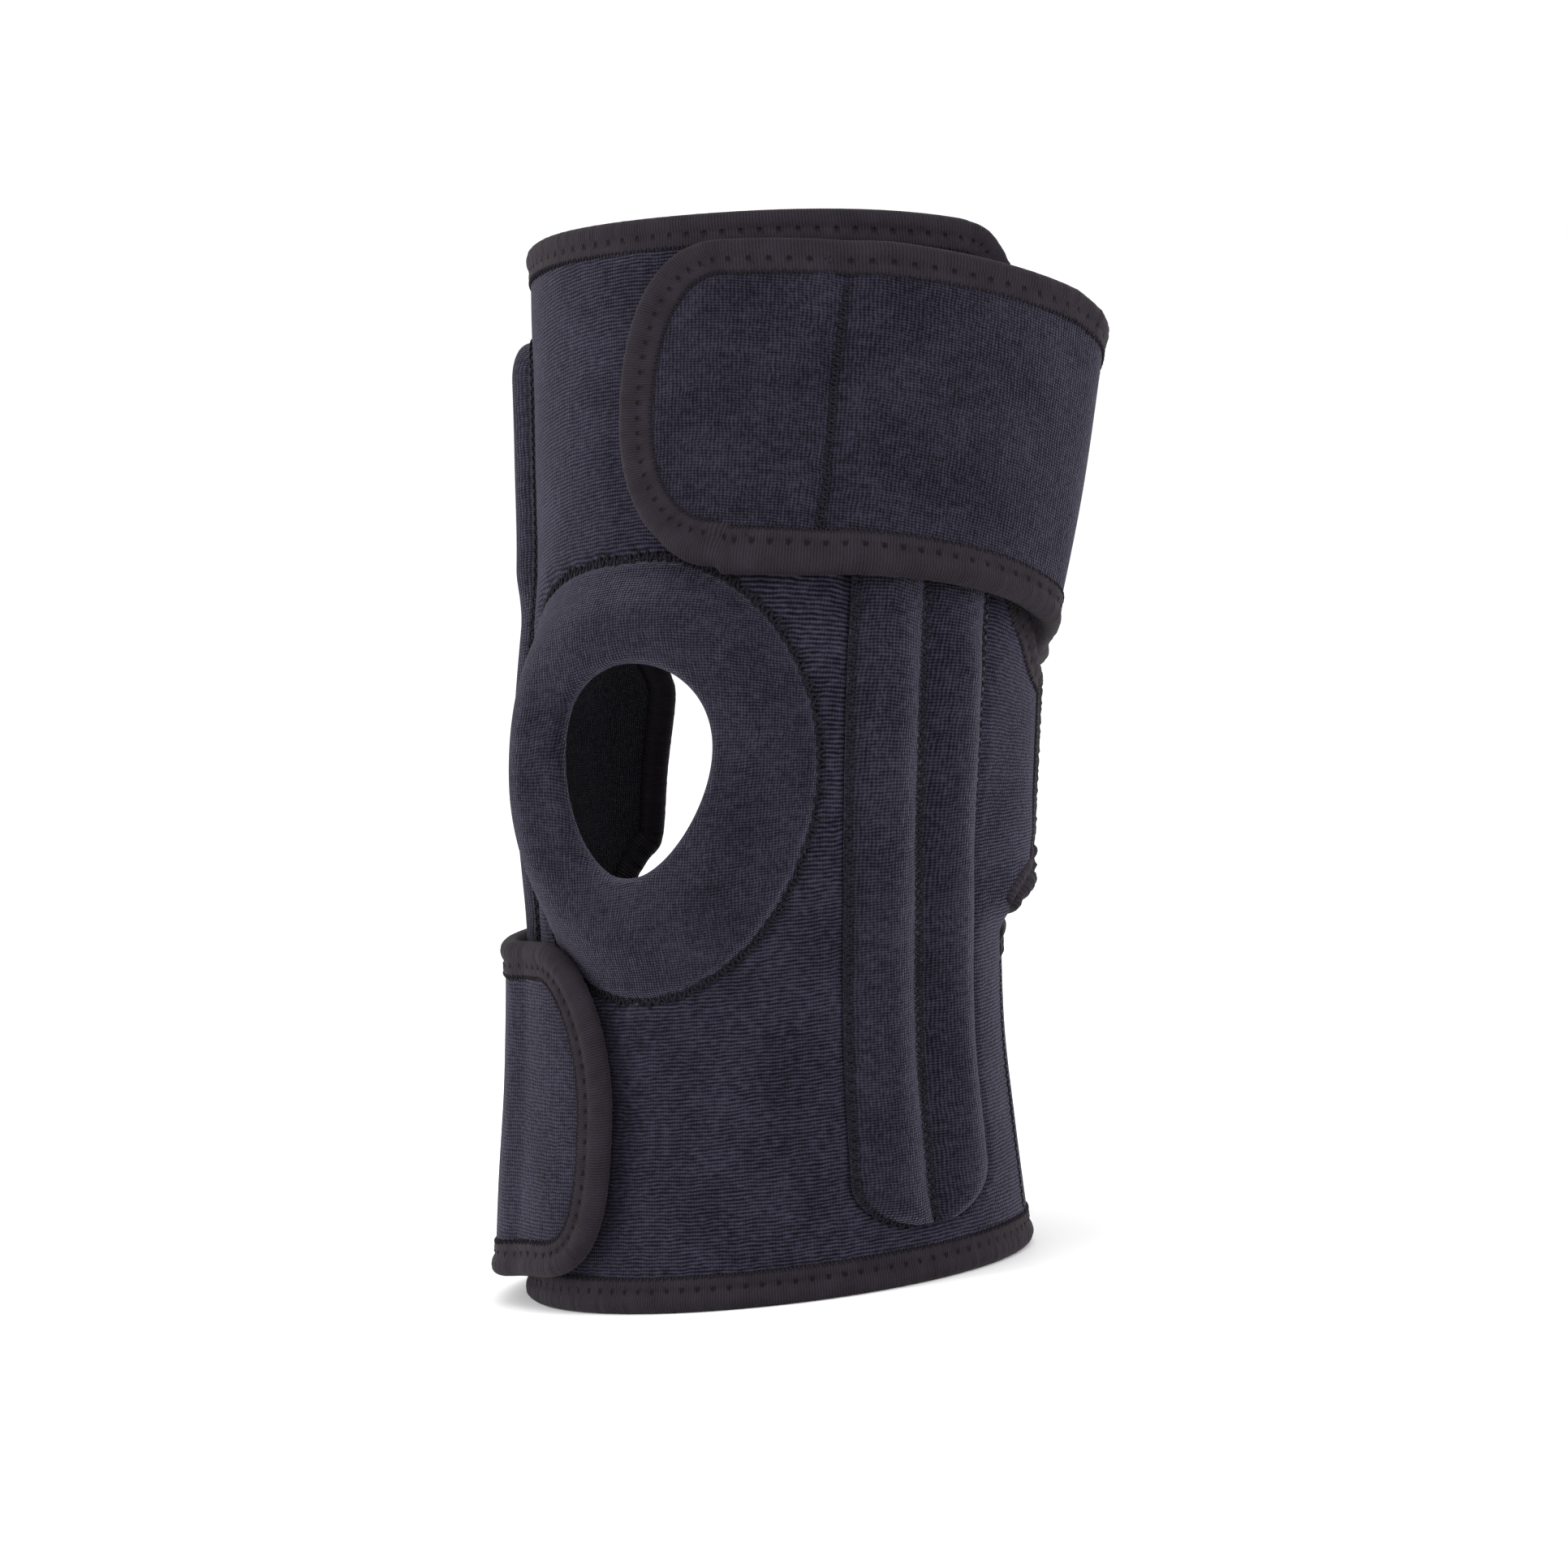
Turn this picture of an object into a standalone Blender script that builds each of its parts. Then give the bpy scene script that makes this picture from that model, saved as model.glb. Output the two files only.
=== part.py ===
"""Open-patella knee brace: a neoprene wrap with two straps, four spiral stays and a patella ring.

The brace stands empty on its bottom rim, in the shape it takes around a slightly bent left knee, with
the kneecap towards -Y. Metres, +Z up, origin under the middle of its box.

Every soft piece is laid out on the surface of the limb. "turn" goes round the limb in degrees: 0 is the
kneecap, +90 the outer side, -90 the inner side and 180 the hollow of the knee. "along" runs up the limb
from the bottom rim, and "off" is the height above the skin. A place is written (turn, along).
"""
import bmesh
import bpy
from math import cos, degrees, hypot, pi, radians, sin, tan
from mathutils import Vector

MM = 0.001

# The limb that shapes the brace: straight shank, bent knee, straight thigh.
BEND_LOW = 100 * MM
BEND_HIGH = 165 * MM
BEND = radians(22)
BEND_RADIUS = (BEND_HIGH - BEND_LOW) / BEND
KNEE_ALONG = 130 * MM
LIMB_SECTIONS = (          # height along the limb, half width, sideways drift of its middle
    (0 * MM, 60 * MM, 1 * MM),
    (30 * MM, 57.5 * MM, 3.5 * MM),
    (60 * MM, 55 * MM, 6.5 * MM),
    (95 * MM, 55 * MM, 11 * MM),
    (130 * MM, 58.5 * MM, 15 * MM),
    (165 * MM, 60.5 * MM, 18.5 * MM),
    (200 * MM, 64 * MM, 18.5 * MM),
    (235 * MM, 67 * MM, 17 * MM),
    (268 * MM, 69 * MM, 14.5 * MM),
)
THIGH_DEPTH = 1.05         # the thigh is a little deeper than it is wide
BOX_MIDDLE_X = 12.76 * MM   # where the middle of the brace's box lies, beside the shank's own axis
BOX_MIDDLE_Y = 21.9 * MM
TURN_RADIUS = 62 * MM      # one mean radius that turns distances round the limb into degrees

# Materials' thicknesses and gaps
NEOPRENE = 3.6 * MM
POCKET_CLOTH = 0.8 * MM
PATCH_CLOTH = 1.6 * MM
HOOK_SHEET = 1.2 * MM
TAPE = 0.7 * MM            # binding tape, folded round an edge
TAPE_WIDTH = 9 * MM
GAP = 0.4 * MM
EDGE = TAPE + GAP          # how far a bound sheet stops short of its finished edge

# Where the pieces end, round the limb
SEAM = 112.0               # a wing is sewn to the front panel here
THIGH_ROOT = 118.0         # the thigh strap bends open here, on the outer side
CALF_ROOT = -124.0         # the calf strap bends open here, on the inner side
SPLIT = 0.3                # half the gap between two pieces at a seam, in degrees
WING_TURN = 119.5          # rear edge of the panel beside the hollow of the knee

# How far the knee bends from this shape, and the room cut for it between the two panels
FLEX = 40.0
EXTEND = 20.0
CUT_SPARE = 0.5            # degrees
CUT_GAP = 1.6 * MM

# Patella hole and patch, measured down the front of the bent knee
FRONT_STRETCH = 1.34       # how much longer the front of the bend is than its middle
HOLE_TURN, HOLE_MIDDLE, HOLE_HALF_TURN, HOLE_HALF = -4.4, 133.3 * MM, 23.0, 26 * MM
HOLE_EGG = 0.17            # the hole is wider above its middle than below
PATCH_MIDDLE, PATCH_HALF = 130.5 * MM, 54 * MM
PATCH_OUTER_TURN, PATCH_INNER_TURN = 44.3, 52.5
PATCH_SQUARE = 4.0         # exponent of the patch's squarer upper inner corner
PATCH_GAP = 1.1 * MM
PATCH_BULGE = 3.6 * MM

# Stay pockets: two channels side by side on each side of the knee
POCKET_LOW, POCKET_HIGH = 14 * MM, 233 * MM
POCKET_END = 13 * MM       # length of a rounded end
CHANNEL_BULGE = 4.2 * MM
PRESSED_BULGE = 3.0 * MM   # the straps press the channels flatter
STAY_LOW, STAY_HIGH = 35 * MM, 211 * MM
STAY_HALF_WIDTH, STAY_THICK = 3 * MM, 1.5 * MM
CAP_HALF_WIDTH, CAP_LENGTH = 3.4 * MM, 7 * MM
CHANNEL_STEPS = (-1, -0.86, -0.68, -0.5, -0.32, -0.12, 0, 0.12, 0.32, 0.5, 0.68, 0.86, 1)

# Straps
HOOK_GAP = 0.7 * MM
STRAP_LIFT_HOOK = NEOPRENE + HOOK_SHEET + 2 * HOOK_GAP
STRAP_LIFT_POCKET = NEOPRENE + POCKET_CLOTH + PRESSED_BULGE + 1.6 * MM
THIGH_TIP = (-5.2, 194 * MM, 23.0, 44.5 * MM, 34 * MM, 2.2, 2.2)   # turn, along, reach, up, down, shapes
CALF_TIP = (-6.6, 48 * MM, -25.0, 44 * MM, 39 * MM, 2.0, 3.0)
HOOK_END = 37.0            # the hook sheets reach from the straps' tips to this turn
FLARE = 6.5 * MM           # the outer wing stands off the limb beside the hollow of the knee

NAVY_KNIT = (0.020, 0.019, 0.029, 1)
PATCH_KNIT = (0.028, 0.026, 0.038, 1)
TAPE_BLACK = (0.018, 0.014, 0.016, 1)
HOOK_BLACK = (0.010, 0.010, 0.011, 1)
FOAM_GREY = (0.09, 0.09, 0.10, 1)
STEEL = (0.62, 0.62, 0.64, 1)
CAP_STEEL = (0.42, 0.42, 0.44, 1)


# ---------------------------------------------------------------- the limb's surface

def clamp(value, low=0.0, high=1.0):
    return max(low, min(high, value))


def smooth(value):
    t = clamp(value)
    return t * t * (3 - 2 * t)


def limb_axis(along):
    """Sideways view of the limb's axis: its y, its z and how far it leans back."""
    lean = clamp((along - BEND_LOW) / (BEND_HIGH - BEND_LOW)) * BEND
    beyond = max(along - BEND_HIGH, 0)
    y = BEND_RADIUS * (1 - cos(lean)) + beyond * sin(lean)
    z = min(along, BEND_LOW) + BEND_RADIUS * sin(lean) + beyond * cos(lean)
    return y, z, lean


def limb_slope(index, column):
    low = LIMB_SECTIONS[max(index - 1, 0)]
    high = LIMB_SECTIONS[min(index + 1, len(LIMB_SECTIONS) - 1)]
    return (high[column] - low[column]) / (high[0] - low[0])


def limb_section(along):
    """Half width, half depth and sideways drift of the limb, as a smooth curve through its sections."""
    along = clamp(along, 0, LIMB_SECTIONS[-1][0])
    index = 0
    while along > LIMB_SECTIONS[index + 1][0]:
        index += 1
    low, high = LIMB_SECTIONS[index], LIMB_SECTIONS[index + 1]
    length = high[0] - low[0]
    t = (along - low[0]) / length
    values = []
    for column in (1, 2):
        rise = (2 * t ** 3 - 3 * t ** 2 + 1) * low[column] + (3 * t ** 2 - 2 * t ** 3) * high[column]
        start = (t ** 3 - 2 * t ** 2 + t) * length * limb_slope(index, column)
        end = (t ** 3 - t ** 2) * length * limb_slope(index + 1, column)
        values.append(rise + start + end)
    depth = 1 + (THIGH_DEPTH - 1) * clamp((along - KNEE_ALONG) / (LIMB_SECTIONS[-2][0] - KNEE_ALONG))
    return values[0], values[0] * depth, values[1]


def on_limb(turn, along, off):
    """The point at this turn and height along the limb, standing off the skin."""
    half_width, half_depth, drift = limb_section(along)
    y, z, lean = limb_axis(along)
    angle = radians(turn)
    normal = (sin(angle) / half_width, -cos(angle) / half_depth)
    off = off / hypot(*normal)
    across = half_width * sin(angle) + off * normal[0]
    back = -half_depth * cos(angle) + off * normal[1]
    return Vector((drift + across - BOX_MIDDLE_X,
                   y + back * cos(lean) - BOX_MIDDLE_Y,
                   z - back * sin(lean)))


def front_to_along(front):
    """Turns a length measured up the front of the limb into a height along its middle."""
    return front if front < BEND_LOW else BEND_LOW + (front - BEND_LOW) / FRONT_STRETCH


# ---------------------------------------------------------------- heights above the skin

def flare(turn, along):
    side = smooth((turn - 92) / 26)
    return FLARE * side * clamp((155 * MM - along) / (50 * MM)) * smooth((along - 80 * MM) / (20 * MM))


def panel_inner(turn, along):
    return flare(turn, along)


def panel_outer(turn, along):
    return flare(turn, along) + NEOPRENE


def strap_inner(turn, along):
    """A strap leaves the skin at its root, climbs over the stay pocket and settles on the panel."""
    root, climb = (THIGH_ROOT, 24) if turn > 0 else (CALF_ROOT, -20)
    onto_pocket = smooth((root - turn) / climb)
    off_pocket = smooth((abs(turn) - HOOK_END - 1) / 10)
    return onto_pocket * (STRAP_LIFT_HOOK + (STRAP_LIFT_POCKET - STRAP_LIFT_HOOK) * off_pocket)


def strap_outer(turn, along):
    return strap_inner(turn, along) + NEOPRENE


# ---------------------------------------------------------------- outlines

def panel_rim(turn):
    """Top rim of the front panel: lowest over the kneecap."""
    return 251.2 * MM - 4.5 * MM * cos(radians(2 * turn))


def patch_outline(steps):
    """The oval seam round the patella patch, anticlockwise from the outer side."""
    points = []
    for step in range(steps):
        angle = 2 * pi * step / steps
        across, up = cos(angle), sin(angle)
        reach = PATCH_OUTER_TURN if across > 0 else PATCH_INNER_TURN
        shape = PATCH_SQUARE if across < 0 < up else 2.0
        turn = reach * abs(across) ** (2 / shape) * (1 if across > 0 else -1)
        front = PATCH_MIDDLE + PATCH_HALF * abs(up) ** (2 / shape) * (1 if up > 0 else -1)
        points.append((turn, front_to_along(front)))
    return points


def hole_outline(steps):
    """The egg-shaped patella hole, anticlockwise from the outer side."""
    points = []
    for step in range(steps):
        angle = 2 * pi * step / steps
        turn = HOLE_TURN + HOLE_HALF_TURN * cos(angle) * (1 + HOLE_EGG * sin(angle))
        points.append((turn, front_to_along(HOLE_MIDDLE + HOLE_HALF * sin(angle))))
    return points


def patch_edge_at(turn, upper):
    """Height of the patch's seam at a turn, on its upper or lower side; None beside the patch."""
    reach = PATCH_OUTER_TURN if turn > 0 else PATCH_INNER_TURN
    size = abs(turn) / reach
    if size >= 1:
        return None
    shape = PATCH_SQUARE if turn < 0 and upper else 2.0
    rise = PATCH_HALF * (1 - size ** shape) ** (1 / shape)
    return front_to_along(PATCH_MIDDLE + rise if upper else PATCH_MIDDLE - rise)


def knee_cut(turn, upper):
    """Edge of a panel at the knee: a wedge about the knee's axis leaves room for it to bend."""
    half_depth = limb_section(KNEE_ALONG)[1]
    back = -(half_depth + NEOPRENE + EDGE) * cos(radians(turn))
    swing = FLEX if back > 0 else EXTEND
    wedge = abs(back) * tan(radians(swing / 2 + CUT_SPARE)) / (1 - back / BEND_RADIUS)
    return KNEE_ALONG + (CUT_GAP + wedge if upper else -CUT_GAP - wedge)


def panel_knee_edge(start, end, upper):
    """A panel's edge across the knee: along the wedge, and round the patella patch."""
    turns = run(start, -56, 5) + run(-56, -40, 6)[1:] + run(-40, 11, 5)[1:]
    turns += run(11, 47, 8)[1:] + run(47, end, 8)[1:]
    points = []
    for turn in turns:
        cut, seam = knee_cut(turn, upper), patch_edge_at(turn * 0.98, upper)
        if seam is not None:
            seam += PATCH_GAP if upper else -PATCH_GAP
            cut = max(cut, seam) if upper else min(cut, seam)
        points.append((turn, cut))
    return points


def strap_edge(tip, root_turn, low_edge, high_edge, run_steps=16, tip_steps=10):
    """Finished edge of a strap: in along its lower edge, round the tip, and back along the upper one."""
    tip_turn, middle, reach, up, down, up_shape, down_shape = tip
    low, high = [], []
    for step in range(run_steps):
        turn = root_turn + (tip_turn + reach - root_turn) * step / run_steps
        low.append((turn, low_edge(turn)))
        high.append((turn, high_edge(turn)))
    for step in range(tip_steps):
        angle = pi / 2 * (1 - step / tip_steps)
        low_turn = tip_turn + reach * (1 - cos(angle) ** (2 / down_shape))
        low.append((low_turn, middle - down * sin(angle) ** (2 / down_shape)))
        high_turn = tip_turn + reach * (1 - cos(angle) ** (2 / up_shape))
        high.append((high_turn, middle + up * sin(angle) ** (2 / up_shape)))
    return low + [(tip_turn, middle)] + high[::-1]


def thigh_strap_low(turn):
    wave = 1.7 * MM * sin(radians(3 * (turn - 50)))
    return 160.5 * MM + wave - 0.06 * MM * max(turn - 85, 0)


def thigh_strap_high(turn):
    if turn > 88:
        return 243.5 * MM - 0.17 * MM * (turn - 88)
    return 243.5 * MM - 5 * MM * ((88 - turn) / 70) ** 1.3


def calf_strap_low(turn):
    return 9 * MM * (turn - CALF_ROOT) / (CALF_TIP[0] + CALF_TIP[2] - CALF_ROOT)


def calf_strap_high(turn):
    return 90 * MM + 2 * MM * (turn - CALF_ROOT) / (CALF_TIP[0] + CALF_TIP[2] - CALF_ROOT)


def points_through(corners, steps):
    """Evenly spaced places on a smooth curve through hand-placed corners."""
    lengths = [0.0]
    for (turn_a, along_a), (turn_b, along_b) in zip(corners, corners[1:]):
        lengths.append(lengths[-1] + hypot(radians(turn_b - turn_a) * TURN_RADIUS, along_b - along_a))
    places = []
    for step in range(steps + 1):
        target = lengths[-1] * step / steps
        index = 0
        while index < len(corners) - 2 and target > lengths[index + 1]:
            index += 1
        t = (target - lengths[index]) / (lengths[index + 1] - lengths[index])
        before = corners[max(index - 1, 0)]
        start, end = corners[index], corners[index + 1]
        after = corners[min(index + 2, len(corners) - 1)]
        places.append(tuple(
            0.5 * (2 * b + (c - a) * t + (2 * a - 5 * b + 4 * c - d) * t * t + (3 * b - a - 3 * c + d) * t ** 3)
            for a, b, c, d in zip(before, start, end, after)))
    return places


def inward_steps(path, side):
    """For each place on a path, one metre to its left (side 1) or right (side -1), as (turn, along)."""
    steps = []
    for index in range(len(path)):
        before, after = path[max(index - 1, 0)], path[min(index + 1, len(path) - 1)]
        run = radians(after[0] - before[0]) * TURN_RADIUS
        rise = after[1] - before[1]
        if index in (0, len(path) - 1):      # the ends are cut square
            run, rise = (run, 0) if abs(run) > abs(rise) else (0, rise)
        size = hypot(run, rise)
        steps.append((degrees(-side * rise / size / TURN_RADIUS), side * run / size))
    return steps


def inset(path, side, depth=EDGE):
    return [(turn + depth * step[0], along + depth * step[1])
            for (turn, along), step in zip(path, inward_steps(path, side))]


def run(start, end, steps):
    return [start + (end - start) * step / steps for step in range(steps + 1)]


# ---------------------------------------------------------------- meshes

def make_object(name, vertices, faces, material, parent, flat_below=30):
    mesh = bpy.data.meshes.new(name)
    mesh.from_pydata(vertices, [], faces)
    shape = bmesh.new()
    shape.from_mesh(mesh)
    bmesh.ops.recalc_face_normals(shape, faces=shape.faces)
    shape.to_mesh(mesh)
    shape.free()
    mesh.shade_smooth()
    mesh.set_sharp_from_angle(angle=radians(flat_below))
    mesh.materials.append(material)
    piece = bpy.data.objects.new(name, mesh)
    bpy.context.scene.collection.objects.link(piece)
    piece.parent = parent
    piece.matrix_parent_inverse = parent.matrix_world.inverted()
    return piece


def sheet_grid(bottom, top, left, right):
    """Fills four edges with a grid of places; bottom and top run one way, left and right go up.

    The bulges of the left and right edges fade quickly towards the middle.
    """
    columns, rows = len(bottom) - 1, len(left) - 1
    grid = []
    for i in range(columns + 1):
        near_left, near_right = (1 - i / columns) ** 4, (i / columns) ** 4
        column = []
        for j in range(rows + 1):
            v = j / rows
            column.append(tuple(
                (1 - v) * bottom[i][k] + v * top[i][k]
                + near_left * (left[j][k] - (1 - v) * left[0][k] - v * left[-1][k])
                + near_right * (right[j][k] - (1 - v) * right[0][k] - v * right[-1][k]) for k in (0, 1)))
        grid.append(column)
    return grid


def solid_from_grid(grid, inner, outer):
    """Vertices and faces of a closed sheet: two skins over the grid and walls round its border."""
    columns, rows = len(grid), len(grid[0])
    vertices = [on_limb(*place, inner(*place)) for column in grid for place in column]
    vertices += [on_limb(*place, outer(*place)) for column in grid for place in column]
    skin = columns * rows
    faces = []
    for i in range(columns - 1):
        for j in range(rows - 1):
            a, b = i * rows + j, (i + 1) * rows + j
            faces.append((a, a + 1, b + 1, b))
            faces.append((skin + a, skin + b, skin + b + 1, skin + a + 1))
    border = [i * rows for i in range(columns)]
    border += [(columns - 1) * rows + j for j in range(1, rows)]
    border += [i * rows + rows - 1 for i in range(columns - 2, -1, -1)]
    border += [j for j in range(rows - 2, 0, -1)]
    for a, b in zip(border, border[1:] + border[:1]):
        faces.append((a, b, skin + b, skin + a))
    return vertices, faces


def sheet(name, edges, inner, outer, material, parent):
    vertices, faces = solid_from_grid(sheet_grid(*edges), inner, outer)
    return make_object(name, vertices, faces, material, parent)


def tape_solid(path, side, inner, outer):
    """A strip of tape folded round an edge: a U in section, swept along the edge."""
    vertices, faces = [], []
    steps = inward_steps(path, side)
    for (turn, along), (turn_step, along_step) in zip(path, steps):
        section = (
            (TAPE_WIDTH, GAP, 1), (TAPE_WIDTH, EDGE, 1), (0, EDGE, 1), (0, -EDGE, 0),
            (TAPE_WIDTH, -EDGE, 0), (TAPE_WIDTH, -GAP, 0), (TAPE, -GAP, 0), (TAPE, GAP, 1))
        for depth, lift, is_outer in section:
            place = (turn + depth * turn_step, along + depth * along_step)
            base = outer(*place) if is_outer else inner(*place)
            vertices.append(on_limb(*place, base + lift))
    for i in range(len(path) - 1):
        for k in range(8):
            a, b = i * 8 + k, i * 8 + (k + 1) % 8
            faces.append((a, b, b + 8, a + 8))
    last = (len(path) - 1) * 8
    for quad in ((0, 1, 2, 7), (7, 2, 3, 6), (6, 3, 4, 5)):
        faces.append(quad)
        faces.append(tuple(last + k for k in quad[::-1]))
    return vertices, faces


def binding(name, path, side, inner, outer, material, parent):
    """Binding tape along an edge; side is 1 where the cloth lies left of the path, -1 where right."""
    vertices, faces = tape_solid(path, side, inner, outer)
    return make_object(name, vertices, faces, material, parent)


# ---------------------------------------------------------------- the front panel and its wings

OUTER_WING_TOP = ((70, 253 * MM), (75, 248 * MM), (78, 241 * MM), (84, 215 * MM), (91, 180 * MM),
                  (96, 164 * MM), (104, 158.5 * MM), (112, 155 * MM), (118, 150 * MM))
INNER_WING_TOP = ((-SEAM + SPLIT, 168.5 * MM), (-113, 165.5 * MM), (-117.5, 159 * MM),
                  (-WING_TURN, 151 * MM))
INNER_WING_LOW = ((-90, 0.5 * MM), (-96, 4 * MM), (-100.5, 12 * MM), (-103, 40 * MM), (-105, 74 * MM),
                  (-106, 88 * MM), (-108, 96 * MM), (-113, 102.5 * MM), (-118, 109 * MM))
OUTER_WING_LOW = ((SEAM - SPLIT, 84.5 * MM), (113, 87.5 * MM), (117.5, 94 * MM), (WING_TURN, 102 * MM))


def thigh_panel_edge():
    """Bound edge of the thigh panel: over its top rim, then down its outer side to the knee."""
    rim = [(turn, panel_rim(turn)) for turn in run(-SEAM + SPLIT, 64, 32)]
    corners = ((64, panel_rim(64)),) + OUTER_WING_TOP + ((WING_TURN, knee_cut(WING_TURN, True)),)
    return rim, points_through(corners, 12)


def shank_panel_edge():
    """Bound edge of the shank panel: along the bottom rim, then up its inner side to the knee."""
    rim = [(turn, 0.0) for turn in run(SEAM - SPLIT, -84, 32)]
    corners = ((-84, 0.0),) + INNER_WING_LOW + ((-WING_TURN, knee_cut(-WING_TURN, False)),)
    return rim, points_through(corners, 12)


def inner_wing_edge():
    corners = ((-WING_TURN, knee_cut(-WING_TURN, True)),) + INNER_WING_TOP[::-1]
    return points_through(corners, 7)


def outer_wing_edge():
    corners = ((WING_TURN, knee_cut(WING_TURN, False)),) + OUTER_WING_LOW[::-1]
    return points_through(corners, 7)


def build_thigh_panel(neoprene, tape, parent):
    rim, outer_side = thigh_panel_edge()
    edge = inset(rim + outer_side[1:], -1)
    top, right = edge[:len(rim)], edge[len(rim) - 1:][::-1]
    rows = len(right) - 1
    low_left = inset(inner_wing_edge(), -1)
    left = low_left + [(-SEAM + SPLIT, along)
                       for along in run(low_left[-1][1], top[0][1], rows - len(low_left) + 1)[1:]]
    bottom = panel_knee_edge(left[0][0], right[0][0], True)
    left[0], right[0] = bottom[0], bottom[-1]
    sheet("thigh_panel", (bottom, top, left, right), panel_inner, panel_outer, neoprene, parent)
    binding("thigh_panel_binding", rim + outer_side[1:], -1, panel_inner, panel_outer, tape, parent)
    binding("inner_wing_binding", inner_wing_edge(), -1, panel_inner, panel_outer, tape, parent)


def build_shank_panel(neoprene, tape, parent):
    rim, inner_side = shank_panel_edge()
    edge = inset(rim + inner_side[1:], -1)
    bottom, left = edge[:len(rim)][::-1], edge[len(rim) - 1:]
    rows = len(left) - 1
    high_right = inset(outer_wing_edge(), -1)[::-1]
    right = [(SEAM - SPLIT, along)
             for along in run(bottom[-1][1], high_right[0][1], rows - len(high_right) + 1)[:-1]]
    right += high_right
    top = panel_knee_edge(left[-1][0], right[-1][0], False)
    left[-1], right[-1] = top[0], top[-1]
    sheet("shank_panel", (bottom, top, left, right), panel_inner, panel_outer, neoprene, parent)
    binding("shank_panel_binding", rim + inner_side[1:], -1, panel_inner, panel_outer, tape, parent)
    binding("outer_wing_binding", outer_wing_edge(), -1, panel_inner, panel_outer, tape, parent)


def build_knee_panel(name, start, end, neoprene, parent):
    """The soft part of the panel between the two wedge cuts, which stretches and folds at the knee."""
    turns = run(start, end, 11)
    bottom = [(turn, knee_cut(turn, False) + GAP) for turn in turns]
    top = [(turn, knee_cut(turn, True) - GAP) for turn in turns]
    left = [bottom[0], top[0]]
    right = [bottom[-1], top[-1]]
    sheet(name, (bottom, top, left, right), panel_inner, panel_outer, neoprene, parent)


def flat_inner(turn, along):
    return 0.0


def flat_outer(turn, along):
    return NEOPRENE


def build_wing(name, start, end, low, high, neoprene, tape, parent):
    """A wing round the back of the limb between two turns, bound along both long edges."""
    turns = run(start + SPLIT, end - SPLIT, 14)
    low_edge = [(turn, low(turn)) for turn in turns]
    high_edge = [(turn, high(turn)) for turn in turns]
    bottom, top = inset(low_edge, 1), inset(high_edge, -1)
    left = [(bottom[0][0], along) for along in run(bottom[0][1], top[0][1], 6)]
    right = [(bottom[-1][0], along) for along in run(bottom[-1][1], top[-1][1], 6)]
    sheet(name, (bottom, top, left, right), flat_inner, flat_outer, neoprene, parent)
    binding(name + "_lower_binding", low_edge, 1, flat_inner, flat_outer, tape, parent)
    binding(name + "_upper_binding", high_edge, -1, flat_inner, flat_outer, tape, parent)


# ---------------------------------------------------------------- straps

def build_strap(prefix, tip, root_turn, low_edge, high_edge, side, materials, parent):
    """A strap with its binding and the hook sheet under its tip."""
    neoprene, tape, hook = materials
    edge = strap_edge(tip, root_turn, low_edge, high_edge)
    body = inset(edge, side)
    half = len(body) // 2
    end_steps = 4
    low = body[:half - end_steps + 1][::-1]
    high = body[half + end_steps:]
    end = body[half - end_steps:half + end_steps + 1]
    root = [(low[-1][0], along) for along in run(low[-1][1], high[-1][1], 2 * end_steps)]
    sheet(prefix + "_strap", (low, high, end, root), strap_inner, strap_outer, neoprene, parent)
    binding(prefix + "_strap_binding", edge, side, strap_inner, strap_outer, tape, parent)

    direction = 1 if tip[2] > 0 else -1
    hook_edge = inset(edge, side, TAPE_WIDTH + 1.5 * MM)
    limit = direction * HOOK_END
    kept = [place for place in hook_edge if (limit - place[0]) * direction > 2]
    low, high = kept[:len(kept) // 2][::-1], kept[-(len(kept) // 2):]
    tip_end = [low[0], kept[len(kept) // 2], high[0]]
    low.append((limit, low[-1][1]))
    high.append((limit, high[-1][1]))
    hook_root = [low[-1], (limit, (low[-1][1] + high[-1][1]) / 2), high[-1]]
    sheet(prefix + "_hook_sheet", (low, high, points_through(tip_end, 6), points_through(hook_root, 6)),
          lambda turn, along: strap_inner(turn, along) - HOOK_GAP - HOOK_SHEET,
          lambda turn, along: strap_inner(turn, along) - HOOK_GAP, hook, parent)


# ---------------------------------------------------------------- patella patch and ring

RING_STEPS = 36


def patch_rise(ring):
    """Height of the patch between the hole (0) and the seam (1)."""
    return NEOPRENE + 0.2 * MM + PATCH_BULGE * sin(pi * clamp(0.14 + 0.86 * ring)) ** 2


def ring_solid(rings, inner, outer):
    """A closed ring between the hole and the seam; each of rings is a share of the way out."""
    hole, seam = hole_outline(RING_STEPS), patch_outline(RING_STEPS)
    vertices, faces = [], []
    section = [(ring, inner(ring)) for ring in rings] + [(ring, outer(ring)) for ring in rings[::-1]]
    for (hole_turn, hole_along), (seam_turn, seam_along) in zip(hole, seam):
        for ring, off in section:
            turn = hole_turn + (seam_turn - hole_turn) * ring
            along = hole_along + (seam_along - hole_along) * ring
            vertices.append(on_limb(turn, along, off))
    count = len(section)
    for i in range(RING_STEPS):
        after = (i + 1) % RING_STEPS
        for k in range(count):
            near, far = k, (k + 1) % count
            faces.append((i * count + near, i * count + far, after * count + far, after * count + near))
    return vertices, faces


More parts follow.
